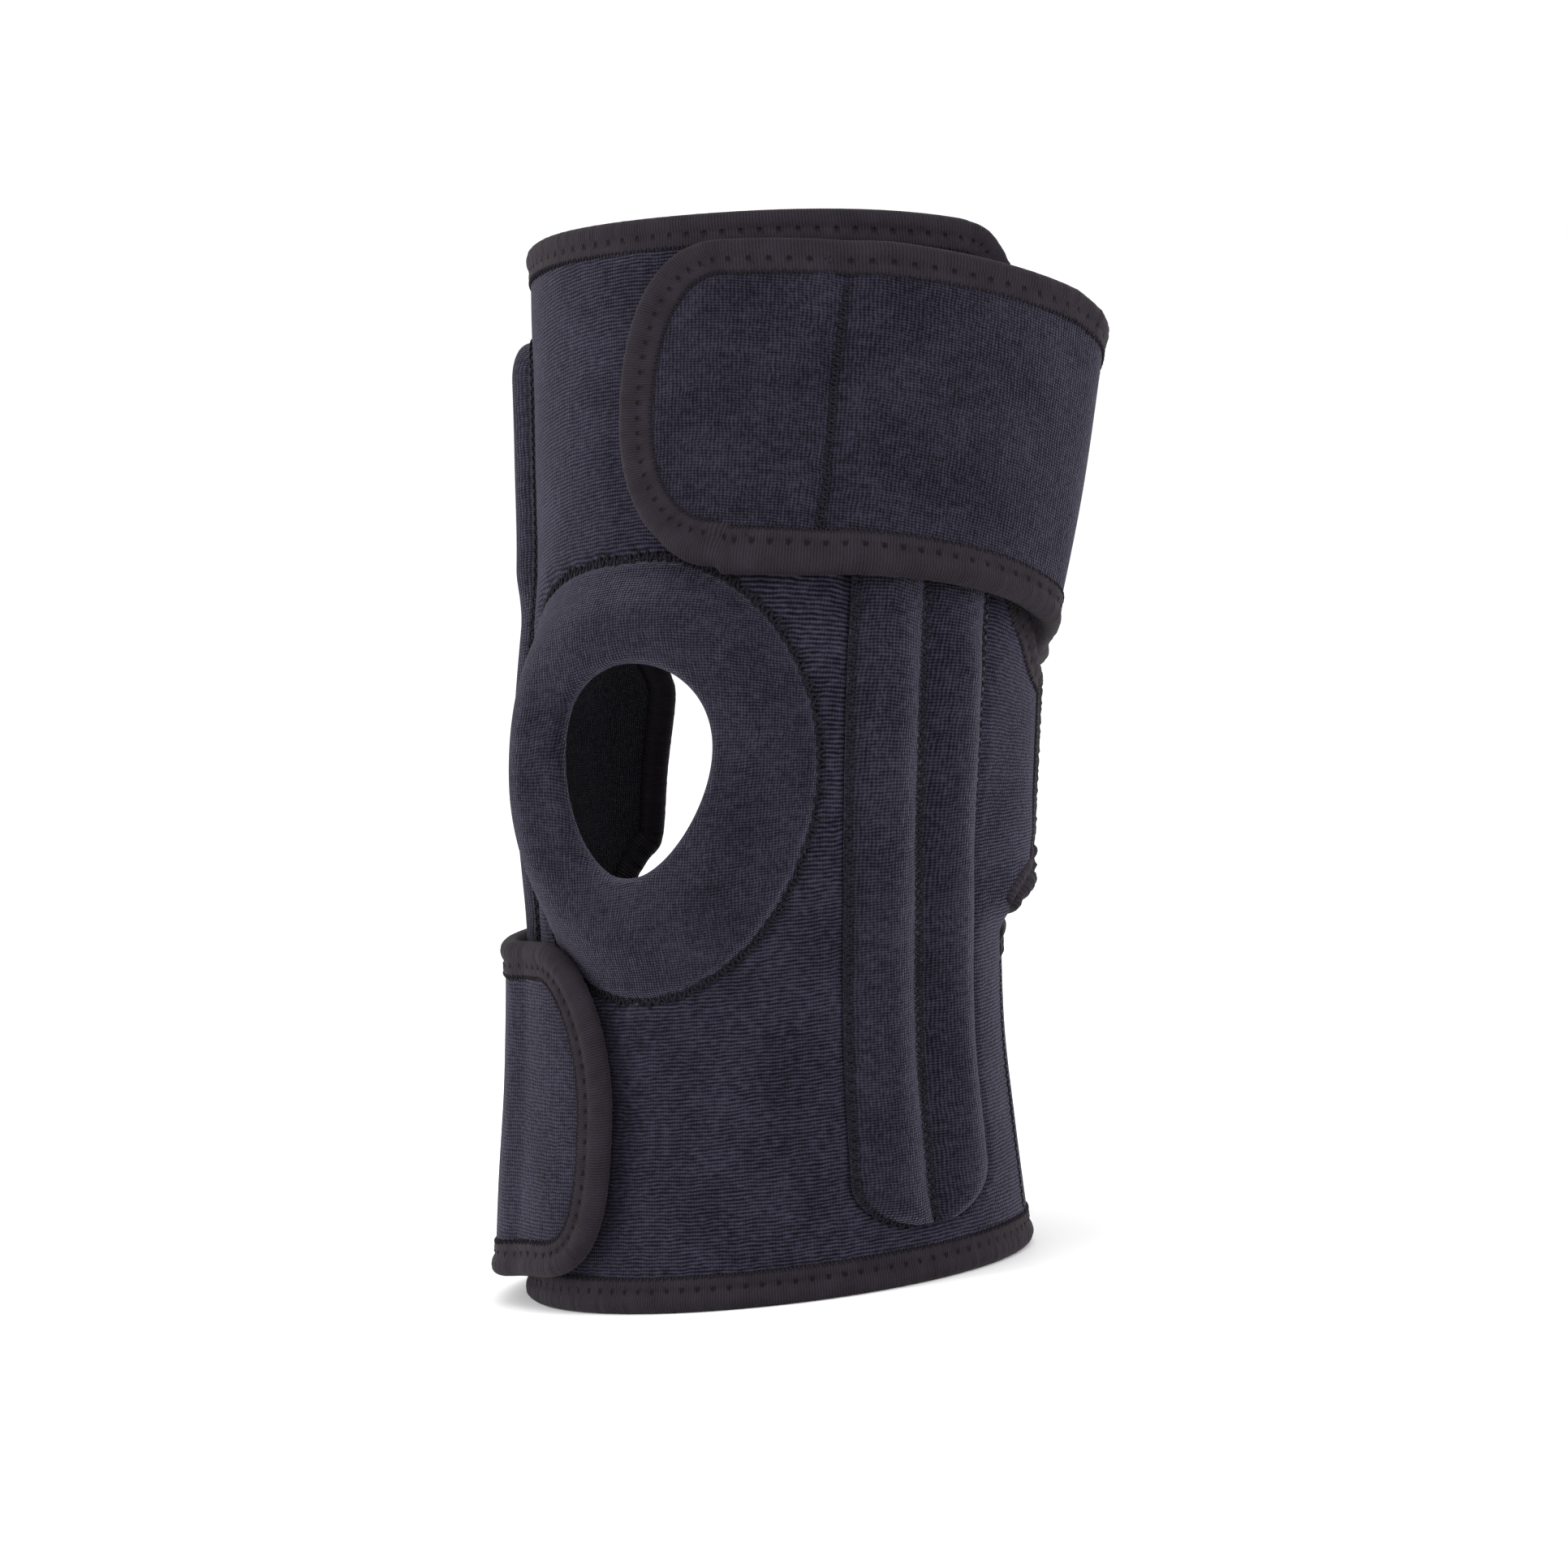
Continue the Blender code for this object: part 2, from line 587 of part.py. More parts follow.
def build_patella(patch_cloth, foam, parent):
    def patch_under(ring):
        edge = max(smooth((0.12 - ring) / 0.12), smooth((ring - 0.86) / 0.14))
        return (patch_rise(ring) - PATCH_CLOTH) * (1 - edge) + 0.6 * MM * edge

    vertices, faces = ring_solid((0, 0.12, 0.35, 0.6, 0.86, 1), patch_under, patch_rise)
    make_object("patella_patch", vertices, faces, patch_cloth, parent, 50)
    vertices, faces = ring_solid((0.16, 0.35, 0.6, 0.8), lambda ring: 0.2 * MM,
                                 lambda ring: patch_rise(ring) - PATCH_CLOTH - 0.8 * MM)
    make_object("patella_ring", vertices, faces, foam, parent, 50)


# ---------------------------------------------------------------- stays and their pockets

def pocket_half_turn(along, side):
    widest = 20.5 if side > 0 else 18.5
    return widest - 5.5 * clamp((along - 90 * MM) / (145 * MM))


def pocket_middle(along, side):
    """Middle seam of a pocket. The outer one drifts forwards up the thigh."""
    if side < 0:
        return -(55 + pocket_half_turn(along, side))
    return 71 - 20 * clamp((along - 90 * MM) / (155 * MM)) ** 1.5


def pocket_end_share(along):
    """How wide the pocket is near its rounded ends, as a share of its full width."""
    inside = min(along - POCKET_LOW, POCKET_HIGH - along)
    return max(1 - (1 - clamp(inside / POCKET_END)) ** 2, 0.0) ** 0.5


def channel_height(across, along):
    """Height of a stay channel's cover over the pocket's flat seams."""
    if 0 < across < 1 or -1 < across < 0:
        pressed = max(smooth((along - 144 * MM) / (12 * MM)), smooth((107 * MM - along) / (12 * MM)))
        return abs(sin(pi * across)) ** 0.9, pressed
    return 0.0, 0.0


def build_pocket(name, side, cloth, parent):
    inside = POCKET_END * 0.5
    stations = [POCKET_LOW + inside * share for share in (0.12, 0.5, 1, 2)]
    stations += run(POCKET_LOW + 2 * POCKET_END, POCKET_HIGH - 2 * POCKET_END, 13)
    stations += [POCKET_HIGH - inside * share for share in (2, 1, 0.5, 0.12)]
    columns, heights = [], []
    for across in CHANNEL_STEPS:
        column, lifts = [], []
        for along in stations:
            width = pocket_half_turn(along, side) * pocket_end_share(along)
            turn = pocket_middle(along, side) + side * across * width
            arch, pressed = channel_height(across, along)
            if side > 0:
                pressed *= along > KNEE_ALONG
            else:
                pressed *= along < KNEE_ALONG
            bulge = CHANNEL_BULGE + (PRESSED_BULGE - CHANNEL_BULGE) * pressed
            column.append((turn, along))
            lifts.append(arch * bulge * pocket_end_share(along))
        columns.append(column)
        heights.append(lifts)
    lift = {place: value for column, lifts in zip(columns, heights) for place, value in zip(column, lifts)}

    def under(turn, along):
        return panel_outer(turn, along) + GAP + lift[(turn, along)]

    def over(turn, along):
        return under(turn, along) + POCKET_CLOTH

    vertices, faces = solid_from_grid(columns, under, over)
    make_object(name, vertices, faces, cloth, parent, 60)


def bar_solid(side, share, low, high, half_width, thick, steps):
    """A flat bar that lies in a channel: share is its place across the pocket."""
    places = []
    for across in (-1, 1):
        places.append([])
        for along in run(low, high, steps):
            turn = pocket_middle(along, side) + side * share * pocket_half_turn(along, side)
            places[-1].append((turn + across * degrees(half_width / TURN_RADIUS), along))
    base = NEOPRENE + GAP

    def under(turn, along):
        return base + flare(turn, along)

    return solid_from_grid(places, under, lambda turn, along: under(turn, along) + thick)


def build_stays(side, prefix, steel, cap_steel, flexing, lower, upper):
    for label, share in (("front", -0.5), ("rear", 0.5)):
        vertices, faces = bar_solid(side, share, STAY_LOW, STAY_HIGH, STAY_HALF_WIDTH, STAY_THICK, 14)
        make_object(f"{prefix}_{label}_stay", vertices, faces, steel, flexing)
        for end, low, parent in (("lower", STAY_LOW - GAP - CAP_LENGTH, lower),
                                 ("upper", STAY_HIGH + GAP, upper)):
            vertices, faces = bar_solid(side, share, low, low + CAP_LENGTH,
                                        CAP_HALF_WIDTH, STAY_THICK + 0.3 * MM, 2)
            make_object(f"{prefix}_{label}_stay_{end}_cap", vertices, faces, cap_steel, parent)


# ---------------------------------------------------------------- build

def make_material(name, colour, roughness, metallic=0.0):
    material = bpy.data.materials.new(name)
    material.use_nodes = True
    shader = material.node_tree.nodes["Principled BSDF"]
    shader.inputs["Base Color"].default_value = colour
    shader.inputs["Roughness"].default_value = roughness
    shader.inputs["Metallic"].default_value = metallic
    return material


def make_empty(name, place, parent=None):
    empty = bpy.data.objects.new(name, None)
    bpy.context.scene.collection.objects.link(empty)
    empty.parent = parent
    if parent:
        empty.matrix_parent_inverse = parent.matrix_world.inverted()
    empty.location = place
    bpy.context.view_layer.update()
    return empty


def clear_scene():
    for item in list(bpy.data.objects):
        bpy.data.objects.remove(item, do_unlink=True)


def main():
    clear_scene()
    neoprene = make_material("neoprene_knit", NAVY_KNIT, 0.85)
    patch_cloth = make_material("patch_knit", PATCH_KNIT, 0.85)
    tape = make_material("binding_tape", TAPE_BLACK, 0.75)
    hook = make_material("hook_tape", HOOK_BLACK, 0.6)
    foam = make_material("ring_foam", FOAM_GREY, 0.8)
    steel = make_material("spring_steel", STEEL, 0.35, 1.0)
    cap_steel = make_material("cap_steel", CAP_STEEL, 0.45, 1.0)

    knee_y, knee_z, _ = limb_axis(KNEE_ALONG)
    shank = make_empty("shank", (0, 0, 0))
    thigh = make_empty("knee_axis", (0, knee_y - BOX_MIDDLE_Y, knee_z), shank)
    thigh_hinge = make_empty("thigh_strap_axis", on_limb(THIGH_ROOT, 198.2 * MM, NEOPRENE + 1.3 * MM), thigh)
    calf_hinge = make_empty("calf_strap_axis", on_limb(CALF_ROOT, 45 * MM, NEOPRENE + 1.3 * MM), shank)

    build_shank_panel(neoprene, tape, shank)
    build_thigh_panel(neoprene, tape, thigh)
    build_wing("calf_wing", SEAM, 360 + CALF_ROOT, lambda turn: 0.0,
               lambda turn: 83 * MM + 7 * MM * (turn - SEAM) / (360 + CALF_ROOT - SEAM),
               neoprene, tape, shank)
    build_wing("thigh_wing", THIGH_ROOT, 360 - SEAM,
               lambda turn: thigh_strap_low(THIGH_ROOT) + 12 * MM * (turn - THIGH_ROOT) / 130,
               lambda turn: thigh_strap_high(THIGH_ROOT) + 11 * MM * (turn - THIGH_ROOT) / 130,
               neoprene, tape, thigh)
    build_strap("thigh", THIGH_TIP, THIGH_ROOT - SPLIT, thigh_strap_low, thigh_strap_high, -1,
                (neoprene, tape, hook), thigh_hinge)
    build_strap("calf", CALF_TIP, CALF_ROOT + SPLIT, calf_strap_low, calf_strap_high, 1,
                (neoprene, tape, hook), calf_hinge)
    build_knee_panel("lateral_knee_panel", PATCH_OUTER_TURN + 1.7, WING_TURN - 1, neoprene, thigh)
    build_knee_panel("medial_knee_panel", 1 - WING_TURN, -PATCH_INNER_TURN - 1.7, neoprene, thigh)
    build_patella(patch_cloth, foam, thigh)
    for side, prefix in ((1, "lateral"), (-1, "medial")):
        build_pocket(f"{prefix}_stay_pocket", side, neoprene, thigh)
        build_stays(side, prefix, steel, cap_steel, thigh, shank, thigh)


main()
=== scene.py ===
"""Looks of the open-patella knee brace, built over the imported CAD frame.

Every soft piece is laid out on the limb that shapes the brace, as in the CAD source. A place is
(turn, along): degrees round the limb from the kneecap, and millimetres up it from the bottom rim.
Heights above the skin are in millimetres too. Only on_limb() gives metres.
"""
import math

import bmesh
import bpy
import numpy as np
from mathutils import Matrix, Vector


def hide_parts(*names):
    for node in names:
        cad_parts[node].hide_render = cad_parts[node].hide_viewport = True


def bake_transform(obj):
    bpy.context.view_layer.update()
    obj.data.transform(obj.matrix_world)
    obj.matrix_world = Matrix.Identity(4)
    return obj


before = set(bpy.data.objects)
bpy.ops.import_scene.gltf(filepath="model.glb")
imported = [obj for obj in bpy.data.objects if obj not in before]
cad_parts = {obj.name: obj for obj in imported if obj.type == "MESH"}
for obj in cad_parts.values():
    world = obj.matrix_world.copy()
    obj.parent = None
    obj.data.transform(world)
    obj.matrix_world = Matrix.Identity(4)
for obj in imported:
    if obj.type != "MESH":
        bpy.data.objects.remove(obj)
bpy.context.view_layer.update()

MM = 0.001

# ---------------------------------------------------------------- sizes shared with the CAD source

BEND_LOW, BEND_HIGH = 100.0, 165.0
BEND = math.radians(22)
BEND_RADIUS = (BEND_HIGH - BEND_LOW) / BEND
KNEE_ALONG = 130.0
SECTIONS = np.array([          # along, half width, sideways drift
    (0, 60, 1), (30, 57.5, 3.5), (60, 55, 6.5), (95, 55, 11), (130, 58.5, 15),
    (165, 60.5, 18.5), (200, 64, 18.5), (235, 67, 17), (268, 69, 14.5)], float)
THIGH_DEPTH = 1.05
BOX_MIDDLE = (12.76, 21.9)
TURN_RADIUS = 62.0
MM_PER_DEGREE = 1.08           # round the limb, near enough for heights

NEOPRENE = 3.6
POCKET_CLOTH = 0.8
PATCH_CLOTH = 1.6
EDGE = 1.1                     # a bound sheet stops this far short of its finished edge
SEAM, THIGH_ROOT, CALF_ROOT = 112.0, 118.0, -124.0
INNER_TURN, OUTER_TURN = -119.5, 125.5      # rear edges of the panel beside the hollow of the knee
BOTTOM_RIM_END, TOP_RIM_END = -84.0, 64.0   # turns where the rims end and the free sides begin
RIM_STEPS, SIDE_STEPS = 200, 260

FRONT_STRETCH = 1.34
HOLE_TURN, HOLE_MIDDLE, HOLE_HALF_TURN, HOLE_HALF, HOLE_EGG = -4.4, 133.3, 23.0, 26.0, 0.17
PATCH_MIDDLE, PATCH_HALF, PATCH_OUTER_TURN, PATCH_INNER_TURN, PATCH_SQUARE = 130.5, 54.0, 44.3, 52.5, 4.0
PATCH_BULGE = 4.2
MEDIAL_FULLNESS = 2.6

POCKET_LOW, POCKET_HIGH, POCKET_END = 14.0, 233.0, 13.0
CHANNEL_BULGE, PRESSED_BULGE = 5.2, 3.0
STAY_LOW, STAY_HIGH = 35.0, 211.0

LIFT_HOOK, LIFT_POCKET = 6.2, 9.0
THIGH_TIP = (-5.2, 194.0, 23.0, 44.5, 34.0, 2.2, 2.2)     # turn, along, reach, up, down, shapes
CALF_TIP = (-6.6, 48.0, -25.0, 44.0, 39.0, 2.0, 3.0)
HOOK_END = 37.0
FLARE = 6.5

OUTER_WING_TOP = ((70, 253), (75, 248), (78, 241), (84, 215), (91, 180), (96, 168.5), (100.5, 165),
                  (104.5, 162), (108, 159), (112, 156.5), (118, 154.6), (123, 150.5))
INNER_WING_TOP = ((-112, 168.5), (-113, 165.5), (-117.5, 159), (-119.5, 151))
INNER_WING_LOW = ((-90, .5), (-96, 4), (-100.5, 12), (-103, 40), (-105, 74), (-106, 88), (-108, 96),
                  (-113, 102.5), (-118, 109))
OUTER_WING_LOW = ((112, 84.5), (113.5, 86.6), (117, 88.2), (121.5, 89.8), (124.7, 94))
HOOK_SEAM = ((162.4, 38.2), (187.3, 38.3), (209.3, 38.6), (233.8, 40.0))   # along, turn


# ---------------------------------------------------------------- the limb's surface

def clamp(value):
    return np.clip(value, 0.0, 1.0)


def smooth(value):
    t = clamp(value)
    return t * t * (3 - 2 * t)


def limb_axis(along):
    lean = clamp((along - BEND_LOW) / (BEND_HIGH - BEND_LOW)) * BEND
    beyond = np.maximum(along - BEND_HIGH, 0)
    y = BEND_RADIUS * (1 - np.cos(lean)) + beyond * np.sin(lean)
    z = np.minimum(along, BEND_LOW) + BEND_RADIUS * np.sin(lean) + beyond * np.cos(lean)
    return y, z, lean


def section_slopes():
    last = len(SECTIONS) - 1
    low = SECTIONS[[max(i - 1, 0) for i in range(last + 1)]]
    high = SECTIONS[[min(i + 1, last) for i in range(last + 1)]]
    return (high - low) / (high[:, :1] - low[:, :1])


SLOPES = section_slopes()


def limb_section(along):
    along = np.clip(along, 0, SECTIONS[-1, 0])
    index = np.clip(np.searchsorted(SECTIONS[:, 0], along, side="right") - 1, 0, len(SECTIONS) - 2)
    low, high = SECTIONS[index], SECTIONS[index + 1]
    length = high[..., 0] - low[..., 0]
    t = (along - low[..., 0]) / length
    values = []
    for column in (1, 2):
        rise = ((2 * t ** 3 - 3 * t ** 2 + 1) * low[..., column]
                + (3 * t ** 2 - 2 * t ** 3) * high[..., column])
        start = (t ** 3 - 2 * t ** 2 + t) * length * SLOPES[index, column]
        end = (t ** 3 - t ** 2) * length * SLOPES[index + 1, column]
        values.append(rise + start + end)
    depth = 1 + (THIGH_DEPTH - 1) * clamp((along - KNEE_ALONG) / (SECTIONS[-2, 0] - KNEE_ALONG))
    return values[0], values[0] * depth, values[1]


def on_limb(turn, along, off):
    """Points in metres at these turns, heights along the limb and heights above the skin."""
    turn, along, off = np.broadcast_arrays(*(np.asarray(v, float) for v in (turn, along, off)))
    half_width, half_depth, drift = limb_section(along)
    y, z, lean = limb_axis(along)
    angle = np.radians(turn)
    normal = np.sin(angle) / half_width, -np.cos(angle) / half_depth
    off = off / np.hypot(*normal)
    across = half_width * np.sin(angle) + off * normal[0]
    back = -half_depth * np.cos(angle) + off * normal[1]
    return np.stack([drift + across - BOX_MIDDLE[0],
                     y + back * np.cos(lean) - BOX_MIDDLE[1],
                     z - back * np.sin(lean)], -1) * MM


def to_front(along):
    return np.where(along < BEND_LOW, along, BEND_LOW + (along - BEND_LOW) * FRONT_STRETCH)


def from_front(front):
    return np.where(front < BEND_LOW, front, BEND_LOW + (front - BEND_LOW) / FRONT_STRETCH)


# ---------------------------------------------------------------- paths, as arrays of (turn, along)

def through(corners, steps):
    """A smooth curve through given corners, evenly stepped."""
    corners = np.array(corners, float)
    lengths = arc_lengths(corners)
    target = np.linspace(0, lengths[-1], steps + 1)
    index = np.clip(np.searchsorted(lengths, target, side="right") - 1, 0, len(corners) - 2)
    t = ((target - lengths[index]) / (lengths[index + 1] - lengths[index]))[:, None]
    a, b = corners[np.maximum(index - 1, 0)], corners[index]
    c, d = corners[index + 1], corners[np.minimum(index + 2, len(corners) - 1)]
    return 0.5 * (2 * b + (c - a) * t + (2 * a - 5 * b + 4 * c - d) * t * t
                  + (3 * b - a - 3 * c + d) * t ** 3)


def arc_lengths(path):
    span = np.diff(path, axis=0) * (math.radians(1) * TURN_RADIUS, 1)
    return np.concatenate([[0], np.cumsum(np.hypot(span[:, 0], span[:, 1]))])


def resample(path, steps=None, pitch=None):
    """The same path in equal steps: so many of them, or of about this length in millimetres."""
    lengths = arc_lengths(path)
    steps = steps or max(int(lengths[-1] / pitch), 2)
    target = np.linspace(0, lengths[-1], steps + 1)
    return np.stack([np.interp(target, lengths, path[:, k]) for k in (0, 1)], 1)


def straight(start, end, steps=40):
    return np.linspace(np.array(start, float), np.array(end, float), steps + 1)


def joined(*paths):
    return np.concatenate([paths[0]] + [path[1:] for path in paths[1:]])


def inward(path, side):
    """At each place, one millimetre to the path's left (side 1) or right (side -1)."""
    step = np.gradient(path, axis=0)
    run, rise = np.radians(step[:, 0]) * TURN_RADIUS, step[:, 1]
    size = np.hypot(run, rise) + 1e-9
    return np.stack([np.degrees(-side * rise / size / TURN_RADIUS), side * run / size], 1)


def inset(path, side, depth=EDGE):
    return path + depth * inward(path, side)


# ---------------------------------------------------------------- heights above the skin

def ripple(turn, along, phase=0.0):
    """Slow unevenness of worn cloth, between -1 and 1."""
    x, y = turn * MM_PER_DEGREE, along
    waves = (np.sin(x / 11.0 + y / 29.0 + phase) + 0.7 * np.sin(x / 17.0 - y / 13.0 + 2.1 * phase + 1.3)
             + 0.5 * np.sin(x / 6.3 + y / 7.9 + 3.3 * phase) + 0.4 * np.sin(-x / 4.7 + y / 9.1 + phase * 5))
    return waves / 2.6


def flare(turn, along):
    return FLARE * smooth((turn - 92) / 26) * clamp((155 - along) / 50) * smooth((along - 80) / 11)


def panel_top(turn, along):
    return flare(turn, along) + NEOPRENE


def strap_lift(turn, along):
    """Underside of a strap, and of the wing it grows from."""
    if np.mean(along) > KNEE_ALONG:
        climb = smooth((THIGH_ROOT - turn) / 24)
    else:
        climb = smooth((turn - CALF_ROOT) / 20)
    off_pocket = smooth((np.abs(turn) - HOOK_END - 1) / 10)
    return climb * (LIFT_HOOK + (LIFT_POCKET - LIFT_HOOK) * off_pocket)


def strap_top(turn, along):
    return strap_lift(turn, along) + NEOPRENE


def panel_rim(turn):
    return 251.2 - 4.5 * np.cos(np.radians(2 * turn))


def patch_measure(turn, along):
    """1 on the seam round the patella patch, less inside it; with its coordinates."""
    x = turn / np.where(turn > 0, PATCH_OUTER_TURN, PATCH_INNER_TURN)
    y = (to_front(along) - PATCH_MIDDLE) / PATCH_HALF
    shape = np.where((x < 0) & (y > 0), PATCH_SQUARE, 2.0)
    return (np.abs(x) ** shape + np.abs(y) ** shape) ** (1 / shape), x, y


def from_patch(x, y):
    turn = x * np.where(x > 0, PATCH_OUTER_TURN, PATCH_INNER_TURN)
    return turn, from_front(PATCH_MIDDLE + y * PATCH_HALF)


def pocket_half_turn(along, side):
    return (20.5 if side > 0 else 18.5) - 5.5 * clamp((along - 90) / 145)


def pocket_middle(along, side):
    if side < 0:
        return -(55 + pocket_half_turn(along, side))
    return 71 - 20 * clamp((along - 90) / 155) ** 1.5


def pocket_end_share(along):
    inside = np.minimum(along - POCKET_LOW, POCKET_HIGH - along)
    return np.sqrt(np.maximum(1 - (1 - clamp(inside / POCKET_END)) ** 2, 0))


def valley(distance, depth, width):
    return depth * np.exp(-(distance / width) ** 2)


def panel_surface(turn, along):
    """Outer skin of the front panel: it sinks along every seam sewn through it."""
    top = panel_top(turn, along) + 0.28 * ripple(turn, along)
    measure, x, y = patch_measure(turn, along)
    angle = np.arctan2(y, x)
    puckers = 1 + 0.3 * np.sin(41 * angle + 2.5 * np.sin(3 * angle)) + 0.15 * np.sin(17 * angle + 1)
    top = top - valley((measure - 1) * 48, 1.5, 2.4) * puckers
    for side in (1, -1):
        width = pocket_half_turn(along, side) * pocket_end_share(along)
        beside = (np.abs(turn - pocket_middle(along, side)) - width) * MM_PER_DEGREE
        top = top - np.where(width > 0, 1.0 * smooth(1 - beside / 3.8), 0)
    return top


def strap_surface(turn, along):
    top = strap_top(turn, along) + 0.22 * ripple(turn, along, 0.8)
    if np.mean(along) > KNEE_ALONG:
        line = np.interp(along, *np.array(HOOK_SEAM).T)
        top = top - valley((turn - line) * 1.1, 1.1, 1.5) + valley((turn - line + 4) * 1.1, 0.35, 2.5)
    return top


# ---------------------------------------------------------------- meshes

def make_piece(name, points, faces, materials, uv, inner_faces=0):
    """A mesh from points in metres. The first inner_faces faces take the second material."""
    mesh = bpy.data.meshes.new(name)
    mesh.from_pydata(points.tolist(), [], [list(face) for face in faces])
    for material in materials:
        mesh.materials.append(material)
    if inner_faces:
        index = np.zeros(len(mesh.polygons), np.int32)
        index[:inner_faces] = 1
        mesh.polygons.foreach_set("material_index", index)
    corner = np.zeros(len(mesh.loops), np.int32)
    mesh.loops.foreach_get("vertex_index", corner)
    mesh.uv_layers.new(name="cloth").data.foreach_set("uv", uv[corner].astype(np.float32).ravel())
    shape = bmesh.new()
    shape.from_mesh(mesh)
    bmesh.ops.recalc_face_normals(shape, faces=shape.faces)
    shape.to_mesh(mesh)
    shape.free()
    mesh.shade_smooth()
    piece = bpy.data.objects.new(name, mesh)
    bpy.context.scene.collection.objects.link(piece)
    return piece


def grid_quads(columns, rows):
    i, j = np.meshgrid(np.arange(columns - 1), np.arange(rows - 1), indexing="ij")
    a = (i * rows + j).ravel()
    return np.stack([a, a + rows, a + rows + 1, a + 1], 1)


def tube_quads(rings, sides):
    """Faces of an open tube whose points come ring by ring."""
    return [(i * sides + k, i * sides + (k + 1) % sides,
             (i + 1) * sides + (k + 1) % sides, (i + 1) * sides + k)
            for i in range(rings - 1) for k in range(sides)]


def thick_sheet(name, places, quads, under, over, materials):
    """A closed sheet: two skins over the places, and walls along every free edge."""
    places = places.reshape(-1, 2)
    used = np.unique(quads)
    renumber = np.zeros(len(places), int)
    renumber[used] = np.arange(len(used))
    places, quads = places[used], renumber[quads]
    turn, along = places[:, 0], places[:, 1]
    points = np.concatenate([on_limb(turn, along, skin(turn, along)) for skin in (under, over)])
    count = len(places)
    edges = np.concatenate([np.stack([quads[:, k], quads[:, (k + 1) % 4]], 1) for k in range(4)])
    keys = np.sort(edges, 1)
    _, first, uses = np.unique(keys[:, 0] * count + keys[:, 1], return_index=True, return_counts=True)
    a, b = edges[first[uses == 1]].T
    walls = np.stack([a, b, b + count, a + count], 1)
    uv = np.tile(np.stack([np.radians(turn) * TURN_RADIUS, along], 1) * MM, (2, 1))
    faces = np.concatenate([quads, quads + count, walls])
    return make_piece(name, points, faces, materials, uv, len(quads) if len(materials) > 1 else 0)


def fill(bottom, top, left, right):
    """Fills four edges with a grid of places, as in the CAD source."""
    u = np.linspace(0, 1, len(bottom))[:, None, None]
    v = np.linspace(0, 1, len(left))[None, :, None]
    places = (1 - v) * bottom[:, None] + v * top[:, None]
    places = places + (1 - u) ** 4 * (left - (1 - v[0]) * left[0] - v[0] * left[-1])[None]
    return places + u ** 4 * (right - (1 - v[0]) * right[0] - v[0] * right[-1])[None]


# Half a folded tape in section: depth from the edge, share of the cloth's thickness, height beyond it
TAPE_OUTSIDE = ((9.0, 1, -0.15), (8.85, 1, 0.15), (8.4, 1, 0.34), (7.7, 1, 0.46), (7.0, 1, 0.50),
                (6.3, 1, 0.42), (5.7, 1, 0.26), (5.2, 1, 0.30), (4.6, 1, 0.62), (4.0, 1, 0.85),
                (3.4, 1, 0.96), (2.8, 1, 1.0))
TAPE_INSIDE = ((2.8, 0, -1.0), (4.2, 0, -0.75), (5.4, 0, -0.4), (7.0, 0, -0.45), (8.6, 0, -0.35),
               (9.0, 0, 0.1))
ROLL_RADIUS = 2.8
ROLL_ANGLES = (70, 50, 30, 10, -10, -30, -50, -70)
HOLE_DEPTH, HOLE_SPACING = 5.6, 4.0


def tape_profile():
    roll = []
    for degrees in ROLL_ANGLES:
        depth = ROLL_RADIUS - ROLL_RADIUS * math.cos(math.radians(degrees))
        rise = math.sin(math.radians(degrees))
        roll.append((depth, (1 + rise) / 2, rise))
    return np.array(TAPE_OUTSIDE + tuple(roll) + TAPE_INSIDE)


def tape_width(profile):
    """Width of tape from its outer free edge to each point of its section, in millimetres."""
    steps = np.hypot(np.diff(profile[:, 0]), np.diff(profile[:, 1] * NEOPRENE))
    return np.concatenate([[0], np.cumsum(steps)])


def no_bunching(turn, along):
    return np.zeros_like(turn)


def bound_edge(name, path, side, under, over, bunching=no_bunching):
    """Binding tape rolled over an edge of the cloth. It sinks along its row of stitch holes."""
    path = resample(path, pitch=0.9)
    normals = inward(path, side)
    kernel = np.ones(5) / 5
    for k in (0, 1):
        normals[2:-2, k] = np.convolve(normals[:, k], kernel, "valid")
    profile = tape_profile()
    lengths = arc_lengths(path)
    pucker = 1 + 0.16 * np.sin(lengths * 1.7) * np.sin(lengths * 0.31 + 1) + 0.08 * np.sin(lengths * 4.1)
    bunch = bunching(path[:, 0], path[:, 1])
    drawn_in = 0.5 * bunch[:, None] * (profile[:, 0] < 4)
    places = path[:, None] + (profile[:, 0] - drawn_in)[..., None] * normals[:, None]
    turn, along = places[..., 0], places[..., 1]
    low, high = under(turn, along), over(turn, along)
    swell = profile[:, 2] * pucker[:, None] * (1 + bunch[:, None])
    off = low + profile[:, 1] * (high - low) + swell
    off = np.where(along < 3, np.maximum(off, -1.0), off)
    points = on_limb(turn, np.maximum(along, 0.02), off).reshape(-1, 3)
    count = len(profile)
    faces = tube_quads(len(path), count)
    faces.append(tuple(range(count)))
    faces.append(tuple((len(path) - 1) * count + k for k in range(count - 1, -1, -1)))
    uv = np.stack(np.meshgrid(lengths, tape_width(profile), indexing="ij"), -1).reshape(-1, 2) * MM
    return make_piece(name, points, faces, [TAPE], uv)


# A stitch's rings: share of the way to its end, width, and height above the cloth
RING = np.array([(0.0, 0.25, -0.30), (0.2, 0.9, 0.05), (0.5, 1.0, 0.22), (0.8, 0.9, 0.05),
                 (1.0, 0.25, -0.30)])
THREAD_SIDES = 5


